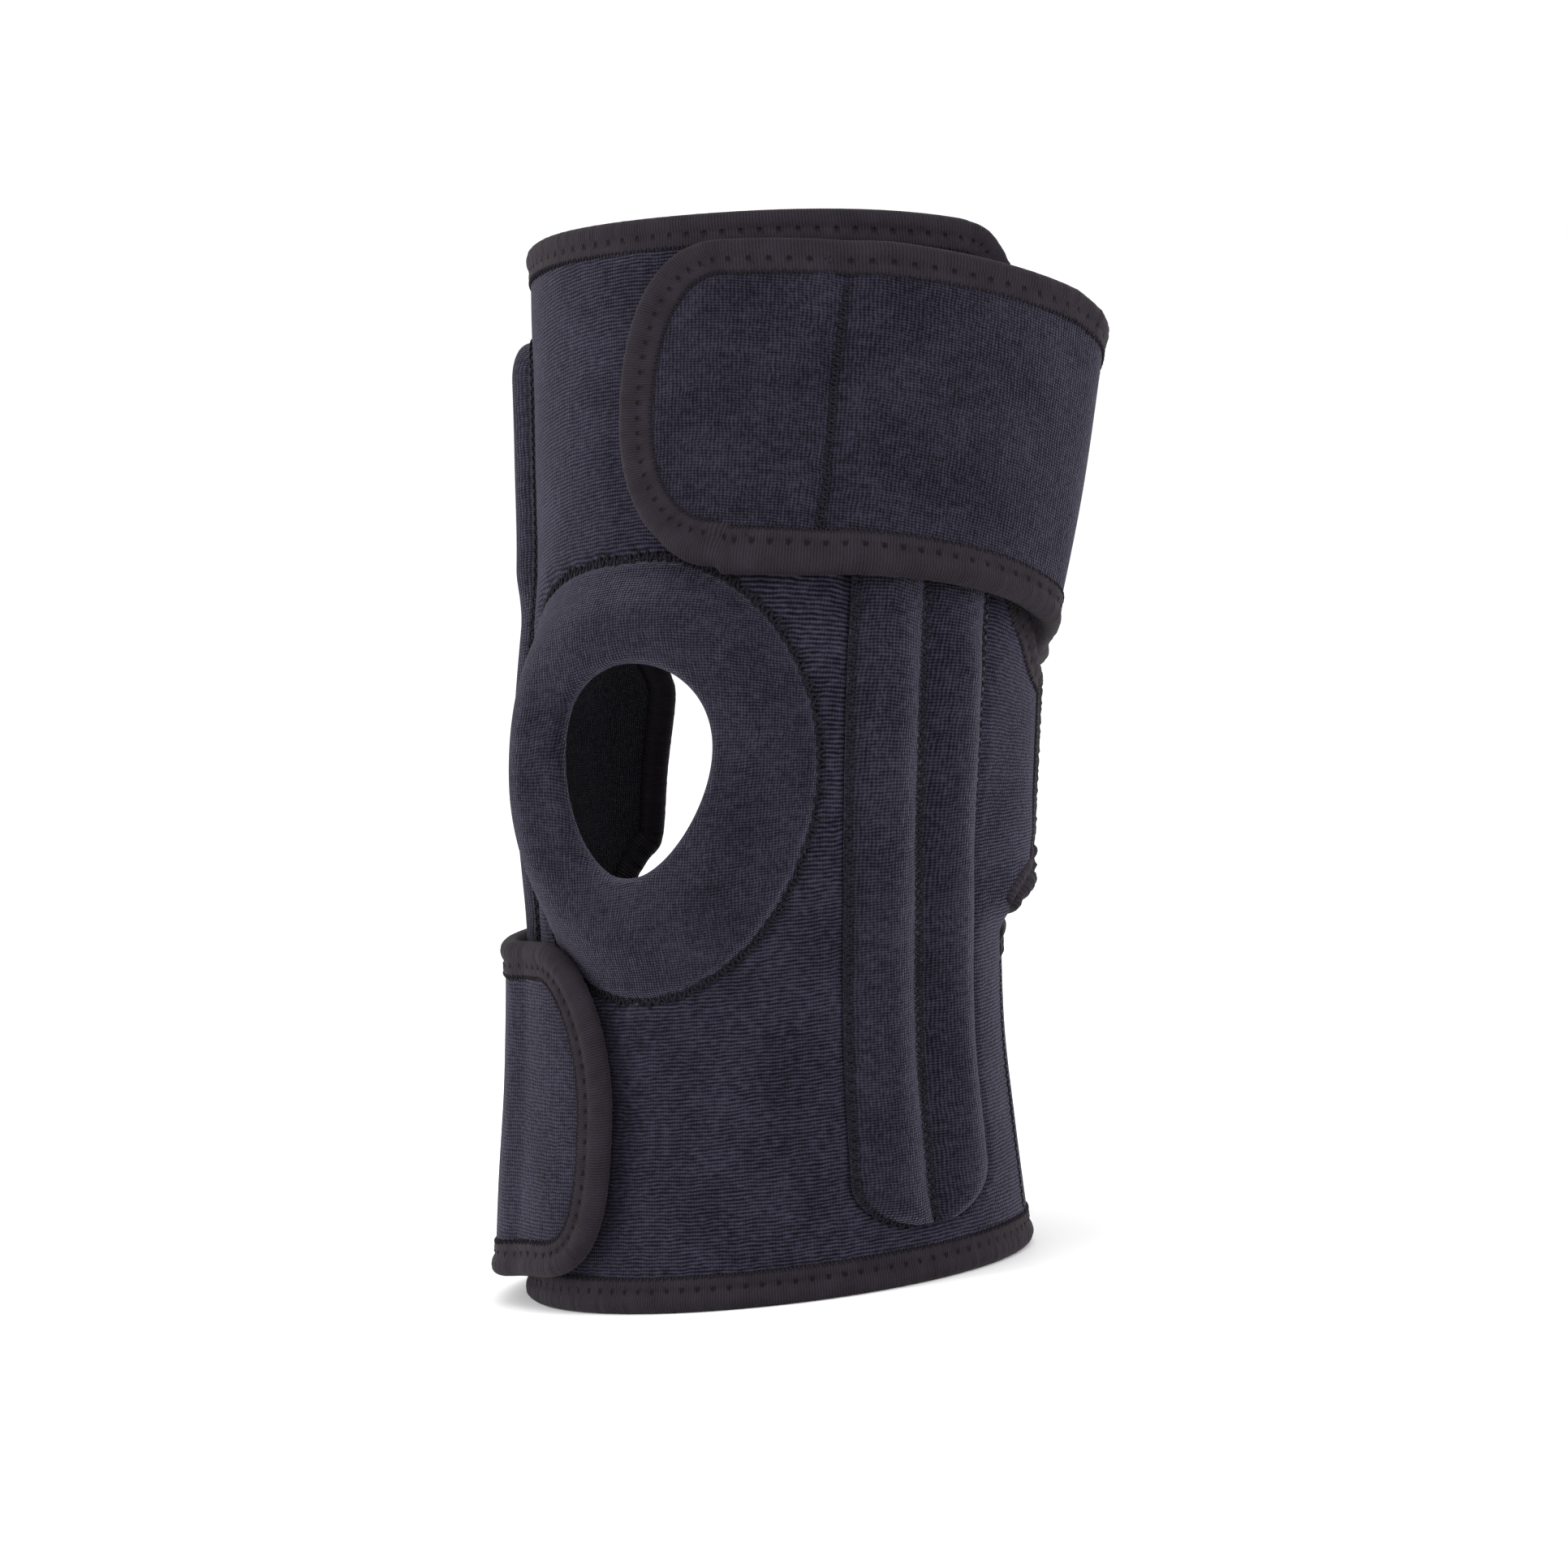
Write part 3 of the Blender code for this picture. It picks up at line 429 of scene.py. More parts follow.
def stitch_mesh(name, starts, ends, heights, radius):
    """Short threads between pairs of places; heights are those of the cloth under each end."""
    low = on_limb(starts[:, 0], starts[:, 1], heights[0])
    high = on_limb(ends[:, 0], ends[:, 1], heights[1])
    normal = on_limb(starts[:, 0], starts[:, 1], heights[0] + 1) - low
    normal /= np.linalg.norm(normal, axis=1)[:, None]
    along = high - low
    along /= np.linalg.norm(along, axis=1)[:, None] + 1e-12
    beside = np.cross(along, normal)
    angles = np.linspace(0, 2 * math.pi, THREAD_SIDES, endpoint=False)
    rings = []
    for share, wide, lift in RING:
        middle = low + share * (high - low) + normal * lift * MM
        for angle in angles:
            rings.append(middle + radius * MM * wide * (math.cos(angle) * beside + math.sin(angle) * normal))
    points = np.stack(rings, 1)
    count = points.shape[1]
    base = np.array(tube_quads(len(RING), THREAD_SIDES))
    faces = (base[None] + np.arange(len(starts))[:, None, None] * count).reshape(-1, 4).tolist()
    for index in range(len(starts)):
        faces.append([index * count + k for k in reversed(range(THREAD_SIDES))])
        faces.append([(index + 1) * count - THREAD_SIDES + k for k in range(THREAD_SIDES)])
    uv = np.stack([np.repeat(RING[:, 0], THREAD_SIDES), np.tile(angles, len(RING))], 1)
    uv = np.tile(uv * MM, (len(starts), 1))
    return make_piece(name, points.reshape(-1, 3), faces, [THREAD], uv)


def zigzag(path, height, half_width=1.25, pitch=1.15):
    """Starts, ends and heights of a zigzag seam along a path."""
    path = resample(path, pitch=pitch)
    sway = np.where(np.arange(len(path)) % 2, half_width, -half_width)
    sway = sway * (1 + 0.12 * np.sin(np.arange(len(path)) * 2.7))
    corners = path + sway[:, None] * inward(path, 1)
    lift = height(corners[:, 0], corners[:, 1]) + 0.12
    return corners[:-1], corners[1:], (lift[:-1], lift[1:])


def tape_rows(path, side, over, bunching=no_bunching):
    """The stitches on a binding, as zigzag() gives them: a V at each hole, loops over its free edge."""
    path = resample(path, pitch=0.5)
    across = inward(path, side)
    steps = np.gradient(path, axis=0) * 2            # one millimetre along the edge
    starts, ends, lows, highs = [], [], [], []

    def sew(spacing, offset, first, last, rise):
        index = np.arange(int(offset * 2), len(path) - 4, int(spacing * 2))
        index = index[bunching(path[index, 0], path[index, 1]) < 0.15]
        a = path[index] + steps[index] * first[0] + across[index] * first[1]
        b = path[index] + steps[index] * last[0] + across[index] * last[1]
        starts.append(a)
        ends.append(b)
        lows.append(over(a[:, 0], a[:, 1]) + rise[0])
        highs.append(over(b[:, 0], b[:, 1]) + rise[1])

    sew(HOLE_SPACING, 2, (0.0, HOLE_DEPTH - 0.3), (0.75, HOLE_DEPTH + 1.5), (-0.05, 0.3))
    sew(HOLE_SPACING, 2, (0.0, HOLE_DEPTH - 0.3), (-0.75, HOLE_DEPTH + 1.5), (-0.05, 0.3))
    sew(2.0, 1, (-0.35, 7.9), (0.3, 9.7), (0.42, -0.1))
    sew(2.0, 2, (0.35, 8.1), (-0.3, 9.6), (0.38, -0.1))
    return np.concatenate(starts), np.concatenate(ends), (np.concatenate(lows), np.concatenate(highs))


def stitches(name, seams, radius=0.24):
    """One piece from several seams, each as zigzag() gives it."""
    starts = np.concatenate([seam[0] for seam in seams])
    ends = np.concatenate([seam[1] for seam in seams])
    heights = tuple(np.concatenate([seam[2][k] for seam in seams]) for k in (0, 1))
    return stitch_mesh(name, starts, ends, heights, radius)


# ---------------------------------------------------------------- materials

WAVE_PITCH = 0.314159          # distance between the bands of a wave texture at scale 1


class Graph:
    """A material's nodes, wired by short calls."""

    def __init__(self, name):
        self.material = bpy.data.materials.new(name)
        self.material.use_nodes = True
        self.tree = self.material.node_tree
        self.shader = self.tree.nodes["Principled BSDF"]

    def add(self, kind, inputs=(), **settings):
        node = self.tree.nodes.new(kind)
        for key, value in settings.items():
            setattr(node, key, value)
        for key, value in dict(inputs).items():
            if isinstance(value, bpy.types.NodeSocket):
                self.tree.links.new(value, node.inputs[key])
            else:
                node.inputs[key].default_value = value
        return node

    def math(self, operation, a, b=0.0):
        return self.add("ShaderNodeMath", {0: a, 1: b}, operation=operation).outputs[0]

    def vector_math(self, operation, a, b):
        return self.add("ShaderNodeVectorMath", {0: a, 1: b}, operation=operation).outputs[0]

    def wave(self, vector, direction, pitch, distortion=0.0):
        """Bands this many metres apart."""
        node = self.add("ShaderNodeTexWave",
                        {"Vector": vector, "Scale": WAVE_PITCH / pitch, "Distortion": distortion,
                         "Detail": 1.0, "Detail Scale": 1.5},
                        wave_type="BANDS", bands_direction=direction)
        return node.outputs["Fac"]

    def noise(self, vector, size, detail=2.0):
        """Soft noise whose blots are about this many metres wide."""
        node = self.add("ShaderNodeTexNoise", {"Vector": vector, "Scale": 1 / size, "Detail": detail})
        return node.outputs["Fac"]

    def uneven(self, vector, size, detail, amount):
        """The same noise, on both sides of zero."""
        return self.math("MULTIPLY", self.math("SUBTRACT", self.noise(vector, size, detail), 0.5), amount)

    def between(self, value, low, high):
        """0 below low, 1 above high and smooth between."""
        node = self.add("ShaderNodeMapRange", {0: value, 1: low, 2: high}, interpolation_type="SMOOTHSTEP")
        return node.outputs[0]

    def cloth(self):
        return self.add("ShaderNodeUVMap", uv_map="cloth").outputs[0]

    def blend(self, factor, dark, light):
        """The dark colour at 0 and the light one at 1."""
        node = self.add("ShaderNodeMix", {0: factor, 6: dark, 7: light}, data_type="RGBA")
        return node.outputs[2]

    def link(self, socket, name):
        self.tree.links.new(socket, self.shader.inputs[name])

    def bump(self, height, distance, strength=1.0):
        node = self.add("ShaderNodeBump", {"Height": height, "Distance": distance, "Strength": strength})
        self.link(node.outputs[0], "Normal")

    def finish(self, roughness, sheen=0.0, sheen_tint=(1, 1, 1, 1), metallic=0.0, specular=0.5):
        values = {"Roughness": roughness, "Metallic": metallic, "Sheen Weight": sheen,
                  "Sheen Roughness": 0.34, "Sheen Tint": sheen_tint, "Specular IOR Level": specular}
        for name, value in values.items():
            self.shader.inputs[name].default_value = value
        return self.material


def knit_material(name, dark, light, ribs, pitch, rib_share, sheen):
    """Ribbed knit: ribs run across the limb ("Y") or up it ("X"); loops cross them."""
    g = Graph(name)
    cloth = g.cloth()
    wander = g.add("ShaderNodeTexNoise", {"Vector": cloth, "Scale": 170.0, "Detail": 2.0}).outputs["Color"]
    wander = g.vector_math("SUBTRACT", wander, (0.5, 0.5, 0.5))
    cloth = g.vector_math("ADD", cloth, g.vector_math("MULTIPLY", wander, (0.0011, 0.0011, 0)))
    rib = g.wave(cloth, ribs, pitch)
    loop = g.wave(cloth, "X" if ribs == "Y" else "Y", pitch * 0.86)
    weave = g.math("ADD", g.math("MULTIPLY", rib, rib_share), g.math("MULTIPLY", loop, 1 - rib_share))
    stretched = g.vector_math("MULTIPLY", cloth, (0.36, 1.0, 1.0) if ribs == "Y" else (1.0, 0.5, 1.0))
    yarn = g.math("SUBTRACT", g.noise(stretched, 0.0007, 2.0), 0.5)
    height = g.math("ADD", weave, g.math("MULTIPLY", yarn, 1.3))
    patchy = g.uneven(cloth, 0.016, 3.0, 0.55)
    mottled = g.uneven(cloth, 0.0028, 2.0, 0.5)
    # The colour darkens with the weave's height. This is partly the yarn's own tone and partly painted shade
    # in the hollows between ribs and loops.
    shade = g.math("ADD", g.math("MULTIPLY", height, 0.72), g.math("ADD", patchy, mottled))
    shade = g.between(g.math("ADD", shade, 0.115), 0.05, 1.15)
    g.link(g.blend(shade, dark, light), "Base Color")
    g.bump(height, 0.00046, 0.85)
    return g.finish(0.9, sheen, (0.75, 0.72, 0.95, 1), specular=0.07)


def tape_material(name, dark, light):
    g = Graph(name)
    cloth = g.cloth()
    rib = g.wave(cloth, "X", 0.00068, 0.5)
    fuzz = g.noise(cloth, 0.0005, 3.0)
    height = g.math("ADD", g.math("MULTIPLY", rib, 0.7), g.math("MULTIPLY", fuzz, 0.8))
    patchy = g.uneven(cloth, 0.006, 2.0, 0.6)
    # The colour darkens with the ribs' height. This is partly the tape's own tone and partly painted shade
    # between the ribs.
    shade = g.math("ADD", g.math("MULTIPLY", height, 0.6), patchy)
    place = g.add("ShaderNodeSeparateXYZ", {0: cloth}).outputs
    half_spacing = HOLE_SPACING / 2 * MM
    along = g.math("SUBTRACT", g.math("PINGPONG", place[0], half_spacing), half_spacing)
    profile = tape_profile()
    outside = slice(len(TAPE_OUTSIDE) - 1, None, -1)
    row = np.interp(HOLE_DEPTH, profile[outside, 0], tape_width(profile)[outside])
    across = g.math("SUBTRACT", place[1], float(row) * MM)
    away = g.math("SQRT", g.math("ADD", g.math("POWER", along, 2.0), g.math("POWER", across, 2.0)))
    # The colour is dark in each stitch hole: painted shade in the hole.
    whole = g.between(away, 0.0003, 0.0008)
    g.link(g.blend(g.math("MULTIPLY", g.math("MAXIMUM", shade, 0.0), whole), dark, light), "Base Color")
    g.bump(g.math("ADD", height, g.math("MULTIPLY", whole, 2.0)), 0.00022, 0.8)
    return g.finish(0.75, 0.04, (1.0, 0.9, 0.9, 1), specular=0.1)


def plain_material(name, dark, light, grain, roughness, distance, metallic=0.0, sheen=0.0):
    """A fine-grained surface without a direction, in the object's own space."""
    g = Graph(name)
    place = g.add("ShaderNodeTexCoord").outputs["Object"]
    fine = g.noise(place, grain, 4.0)
    broad = g.noise(place, grain * 9, 2.0)
    shade = g.math("ADD", g.math("MULTIPLY", fine, 0.6), g.math("MULTIPLY", broad, 0.4))
    g.link(g.blend(shade, dark, light), "Base Color")
    g.bump(fine, distance, 0.7)
    return g.finish(roughness, sheen, metallic=metallic, specular=0.5 if metallic else 0.1)


def hook_material():
    """Moulded hooks in close rows."""
    g = Graph("hooks")
    place = g.add("ShaderNodeTexCoord").outputs["Object"]
    cells = g.add("ShaderNodeTexVoronoi", {"Vector": place, "Scale": 900.0, "Randomness": 0.35})
    knob = g.math("SUBTRACT", 1.0, cells.outputs["Distance"])
    # The colour follows each hook's height and is darker in the gaps between hooks: painted shade between
    # them.
    g.link(g.blend(knob, (0.004, 0.004, 0.004, 1), (0.022, 0.022, 0.024, 1)), "Base Color")
    g.bump(knob, 0.0007)
    return g.finish(0.45)


PANEL_KNIT = knit_material("panel_knit", (0.0016, 0.0013, 0.0032, 1), (0.0330, 0.0300, 0.0490, 1),
                           "Y", 0.00090, 0.78, 0.14)
STRAP_KNIT = knit_material("strap_knit", (0.0018, 0.0015, 0.0032, 1), (0.0265, 0.0238, 0.0385, 1),
                           "X", 0.00080, 0.50, 0.13)
PATCH_KNIT = knit_material("patch_knit", (0.0026, 0.0022, 0.0044, 1), (0.0310, 0.0285, 0.0450, 1),
                           "X", 0.00078, 0.42, 0.15)
LINING = knit_material("lining_jersey", (0.0040, 0.0038, 0.0052, 1), (0.0300, 0.0285, 0.0370, 1),
                       "X", 0.0007, 0.5, 0.05)
TAPE = tape_material("woven_tape", (0.0014, 0.0010, 0.0017, 1), (0.0212, 0.0158, 0.0236, 1))
# The thread is darker than the cloth. This is its own black and, in part, painted shade of the sunk seams it
# lies in.
THREAD = plain_material("thread", (0.0010, 0.0008, 0.0013, 1), (0.0130, 0.0108, 0.0150, 1),
                        0.0004, 0.8, 0.0001, sheen=0.03)
FOAM = plain_material("foam", (0.05, 0.05, 0.055, 1), (0.12, 0.12, 0.13, 1), 0.0012, 0.85, 0.0003)
WIRE = plain_material("spring_wire", (0.45, 0.45, 0.47, 1), (0.75, 0.75, 0.77, 1),
                      0.0009, 0.3, 0.00003, metallic=1.0)
CRIMP = plain_material("crimped_cap", (0.30, 0.30, 0.32, 1), (0.52, 0.52, 0.54, 1),
                       0.0008, 0.42, 0.00004, metallic=1.0)
HOOKS = hook_material()


# ---------------------------------------------------------------- each piece in place of its CAD parts


def bend_at_knee(piece, *nodes):
    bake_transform(piece)
    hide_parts(*nodes)


def bend_at_root(piece, prefix, *nodes):
    if prefix == "thigh":
        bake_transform(piece)
    else:
        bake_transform(piece)
    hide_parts(*nodes)


# ---------------------------------------------------------------- front panel

def inner_side_path():
    corners = ((BOTTOM_RIM_END, 0),) + INNER_WING_LOW + ((INNER_TURN, 130),) + INNER_WING_TOP[::-1]
    return through(corners, SIDE_STEPS)


def outer_side_path():
    start = (TOP_RIM_END, float(panel_rim(TOP_RIM_END)))
    corners = (start,) + OUTER_WING_TOP + ((OUTER_TURN, 126),) + OUTER_WING_LOW[::-1]
    return through(corners, SIDE_STEPS)


def bottom_rim_path():
    return straight((SEAM, 0), (BOTTOM_RIM_END, 0), RIM_STEPS)


def top_rim_path():
    turn = np.linspace(-SEAM, TOP_RIM_END, RIM_STEPS)
    return np.stack([turn, panel_rim(turn)], 1)


def build_front_panel():
    inner = inset(joined(bottom_rim_path(), inner_side_path()), -1)
    outer = inset(joined(top_rim_path(), outer_side_path()), -1)
    bottom, left = inner[:RIM_STEPS + 1][::-1], inner[RIM_STEPS:]
    top, right = outer[:RIM_STEPS], outer[RIM_STEPS - 1:][::-1]
    left[-1, 0], right[0, 0] = -SEAM, SEAM
    left = joined(left, straight(left[-1], top[0]))
    right = joined(straight(bottom[-1], right[0]), right)
    columns, rows = 150, 150
    places = fill(resample(bottom, columns), resample(top, columns),
                  resample(left, rows), resample(right, rows))
    quads = grid_quads(columns + 1, rows + 1)
    flat = places.reshape(-1, 2)
    measure, x, y = patch_measure(flat[:, 0], flat[:, 1])
    quads = quads[measure[quads].max(1) > 1]
    inside = measure < 1
    flat[inside] = np.stack(from_patch(x[inside] / measure[inside], y[inside] / measure[inside]), 1)
    panel = thick_sheet("front_panel", flat, quads, flare, panel_surface, [PANEL_KNIT, LINING])
    bend_at_knee(panel, "shank_panel", "thigh_panel", "lateral_knee_panel", "medial_knee_panel")


def notch_bunching(turn, along):
    """The binding is crowded where the outer wing's lower corner turns."""
    near = smooth((along - 82) / 3) * smooth((102 - along) / 6) * smooth((turn - 108) / 3)
    return near * (0.8 + 0.45 * np.sin(along * 1.5 + turn * 1.4) + 0.25 * np.sin(along * 0.7 - turn * 2.3))


def build_panel_bindings():
    paths = (joined(bottom_rim_path(), inner_side_path()), joined(top_rim_path(), outer_side_path()))
    lower = bound_edge("front_panel_lower_binding", paths[0], -1, flare, panel_top)
    upper = bound_edge("front_panel_upper_binding", paths[1], -1, flare, panel_top, notch_bunching)
    bend_at_knee(lower, "shank_panel_binding", "inner_wing_binding")
    bend_at_knee(upper, "thigh_panel_binding", "outer_wing_binding")
    bend_at_knee(stitches("front_panel_binding_stitches", [
        tape_rows(path, -1, panel_top, notch_bunching) for path in paths]))


# ---------------------------------------------------------------- straps with the wings they grow from

def strap_edges(prefix):
    """A strap's tip, the turn where its wing ends, its lower and upper edge, and its cloth's side."""
    if prefix == "thigh":
        def low(turn):
            wing = 12 * np.maximum(turn - THIGH_ROOT, 0) / 130
            turn = np.minimum(turn, THIGH_ROOT)
            return wing + 160.5 + 1.7 * np.sin(np.radians(3 * (turn - 50))) - 0.06 * np.maximum(turn - 85, 0)

        def high(turn):
            wing = 11 * np.maximum(turn - THIGH_ROOT, 0) / 130
            turn = np.minimum(turn, THIGH_ROOT)
            before = 243.5 - 5 * (np.maximum(88 - turn, 0) / 70) ** 1.3
            return wing + np.where(turn > 88, 243.5 - 0.17 * (turn - 88), before)

        return THIGH_TIP, 360 - SEAM, low, high, -1

    length = CALF_TIP[0] + CALF_TIP[2] - CALF_ROOT

    def low(turn):
        return 9 * np.maximum(turn - CALF_ROOT, 0) / length

    def high(turn):
        wing = 7 * np.minimum(turn - CALF_ROOT, 0) / (360 + CALF_ROOT - SEAM)
        return 90 + wing + 2 * np.maximum(turn - CALF_ROOT, 0) / length

    return CALF_TIP, SEAM - 360, low, high, 1


TIP_STEPS, END_STEPS = 60, 24


def strap_outline(tip, far_turn, low_edge, high_edge, run_steps=170):
    """Finished edge of a strap and its wing: in along the lower edge, round the tip and back."""
    tip_turn, middle, reach, up, down, up_shape, down_shape = tip
    turn = np.linspace(far_turn, tip_turn + reach, run_steps, endpoint=False)
    angle = math.pi / 2 * (1 - np.arange(TIP_STEPS) / TIP_STEPS)
    low_turn = tip_turn + reach * (1 - np.cos(angle) ** (2 / down_shape))
    high_turn = tip_turn + reach * (1 - np.cos(angle) ** (2 / up_shape))
    low = np.concatenate([np.stack([turn, low_edge(turn)], 1),
                          np.stack([low_turn, middle - down * np.sin(angle) ** (2 / down_shape)], 1)])
    high = np.concatenate([np.stack([turn, high_edge(turn)], 1),
                           np.stack([high_turn, middle + up * np.sin(angle) ** (2 / up_shape)], 1)])
    return np.concatenate([low, [(tip_turn, middle)], high[::-1]])


def build_strap(prefix):
    tip, far_turn, low_edge, high_edge, side = strap_edges(prefix)
    edge = strap_outline(tip, far_turn, low_edge, high_edge)
    body = inset(edge, side)
    half = len(body) // 2
    low, high = body[:half - END_STEPS + 1][::-1], body[half + END_STEPS:]
    end = body[half - END_STEPS:half + END_STEPS + 1]
    columns, rows = 160, 2 * END_STEPS
    places = fill(resample(low, columns), resample(high, columns), end, straight(low[-1], high[-1], rows))
    knit = STRAP_KNIT if prefix == "thigh" else PANEL_KNIT
    strap = thick_sheet(prefix + "_wrap", places, grid_quads(columns + 1, rows + 1),
                        strap_lift, strap_surface, [knit, LINING])
    bend_at_root(strap, prefix, prefix + "_wing", prefix + "_strap")
    tape = bound_edge(prefix + "_wrap_binding", edge, side, strap_lift, strap_top)
    bend_at_root(tape, prefix, prefix + "_wing_lower_binding", prefix + "_wing_upper_binding",
                 prefix + "_strap_binding")
    seams = [tape_rows(edge, side, strap_top)]
    if prefix == "thigh":
        line = np.array(HOOK_SEAM)[:, ::-1]
        seams.append(zigzag(through(line, 60)[5:-5], strap_surface, 1.1))
        seams.append(zigzag(straight((far_turn, 182), (far_turn, 240)), strap_top, 1.4))
    else:
        seams.append(zigzag(straight((far_turn, 10), (far_turn, 73)), strap_top, 1.4))
    bend_at_root(stitches(prefix + "_wrap_stitches", seams), prefix)


# ---------------------------------------------------------------- patella patch

PATCH_STEPS = 200


def patch_ring(share):
    """Places round the patch at this share of the way from the hole to the seam."""
    angle = np.linspace(0, 2 * math.pi, PATCH_STEPS, endpoint=False)
    hole = np.stack([HOLE_TURN + HOLE_HALF_TURN * np.cos(angle) * (1 + HOLE_EGG * np.sin(angle)),
                     from_front(HOLE_MIDDLE + HOLE_HALF * np.sin(angle))], 1)
    across, up = np.cos(angle), np.sin(angle)
    shape = np.where((across < 0) & (up > 0), PATCH_SQUARE, 2.0)
    reach = (np.abs(across) ** shape + np.abs(up) ** shape) ** (-1 / shape)
    seam = np.stack(from_patch(across * reach, up * reach), 1)
    return hole + (seam - hole) * share


def patch_rise(share):
    return NEOPRENE + 0.2 + PATCH_BULGE * np.sin(math.pi * clamp(0.14 + 0.86 * share)) ** 2


def medial_fullness(share, places):
    """The patch stands off further beside the kneecap's inner edge, where it makes the outline."""
    beside = smooth((-places[:, 0] - 18) / 16)
    level = clamp(1 - ((to_front(places[:, 1]) - PATCH_MIDDLE) / 38) ** 2)
    return MEDIAL_FULLNESS * beside * level * smooth((share - 0.03) / 0.3) * smooth((1 - share) / 0.35)


# The patch's underside and its roll at the hole: share of the way to the seam, height above the skin
PATCH_ROLL = ((0.5, -0.35), (0.3, -0.35), (0.12, -0.35), (0.05, -0.1), (0.015, 0.7), (0.0, 1.9), (0.004, 3.0),
              (0.022, 4.1), (0.052, 4.95), (0.085, 5.5))


def unrolled(points, uv, shares):
    """Cloth coordinates measured along the section, inward from the seam, so the knit never stretches."""
    seam, hole = shares.index(1.0), shares.index(0.0)
    steps = np.linalg.norm(np.diff(points, axis=0), axis=2)
    lengths = np.concatenate([np.zeros((1, PATCH_STEPS)), np.cumsum(steps, axis=0)])
    inward_way = uv[hole] - uv[seam]
    inward_way /= np.linalg.norm(inward_way, axis=1)[:, None]
    return uv[seam] + (lengths[seam] - lengths)[..., None] * inward_way


def ring_mesh(name, section, lift, material, unroll=False):
    points, uv = [], []
    for share, height in section:
        places = patch_ring(share)
        off = lift(share, height, places)
        points.append(on_limb(places[:, 0], places[:, 1], off))
        uv.append(np.stack([np.radians(places[:, 0]) * TURN_RADIUS, to_front(places[:, 1])], 1) * MM)
    rings = len(section)
    if unroll:
        uv = unrolled(np.stack(points), np.stack(uv), [share for share, height in section])
    faces = []
    for r in range(rings):
        base, after = r * PATCH_STEPS, (r + 1) % rings * PATCH_STEPS
        for k in range(PATCH_STEPS):
            n = (k + 1) % PATCH_STEPS
            faces.append((base + k, base + n, after + n, after + k))
    return make_piece(name, np.concatenate(points), faces, [material], np.concatenate(list(uv)))


def build_patella():
    around = np.linspace(0, 2 * math.pi, PATCH_STEPS, endpoint=False)

    def lift(share, height, places):
        near_seam = math.exp(-((1 - share) / 0.13) ** 2)
        folds = 0.16 * np.sin(60 * around) + 0.12 * np.sin(23 * around + 1)
        outer = 1.0 if height > 2.5 else 0.0
        return height + outer * (near_seam * folds * (1 - near_seam ** 8)
                                 + 0.22 * ripple(places[:, 0], places[:, 1], 2.2) * (1 - near_seam)
                                 + medial_fullness(share, places))

    shares = np.concatenate([np.linspace(0.12, 0.86, 16), [0.9, 0.93, 0.955, 0.975, 0.99, 1.0]])
    outer = [(s, patch_rise(s) - 1.7 * float(smooth((s - 0.89) / 0.11))) for s in shares]
    section = PATCH_ROLL + tuple(outer) + ((1.0, 0.1), (0.9, -0.3), (0.7, -0.35))
    patch = ring_mesh("patella_patch_cover", section, lift, PATCH_KNIT, unroll=True)
    bend_at_knee(patch, "patella_patch")

    ring_shares = np.linspace(0.16, 0.8, 9)
    tops = [(s, patch_rise(s) - PATCH_CLOTH - 0.8) for s in ring_shares]
    section = tuple(tops) + ((0.8, 0.2), (0.48, 0.2), (0.16, 0.2))

    def foam_lift(share, height, places):
        return height + (medial_fullness(share, places) if height > 1 else 0.0)

    ring = ring_mesh("patella_foam_ring", section, foam_lift, FOAM)
    bend_at_knee(ring, "patella_ring")

    seam = patch_ring(0.997)
    seam = seam + inward(seam, 1) * (0.35 * np.sin(30 * around) + 0.25 * np.sin(70 * around))[:, None]
    seam = np.concatenate([seam, seam[:1]])

    def seam_height(turn, along):
        return panel_top(turn, along) - 1.0

    bend_at_knee(stitches("patella_patch_stitches", [zigzag(seam, seam_height, 1.5, 1.3)], 0.3))


# ---------------------------------------------------------------- stay pockets

def pocket_arch(across, along, side):
    """Height of the pocket's cover over its seams: two padded channels."""
    inside = clamp((np.abs(across) - 0.085) / 0.83)
    arch = np.sin(math.pi * inside) ** 0.92
    pressed = smooth((along - 144) / 12) * (side > 0) + smooth((172 - along) / 14) * (side < 0)
    bulge = CHANNEL_BULGE + (PRESSED_BULGE - CHANNEL_BULGE) * pressed
    return arch * bulge * pocket_end_share(along)


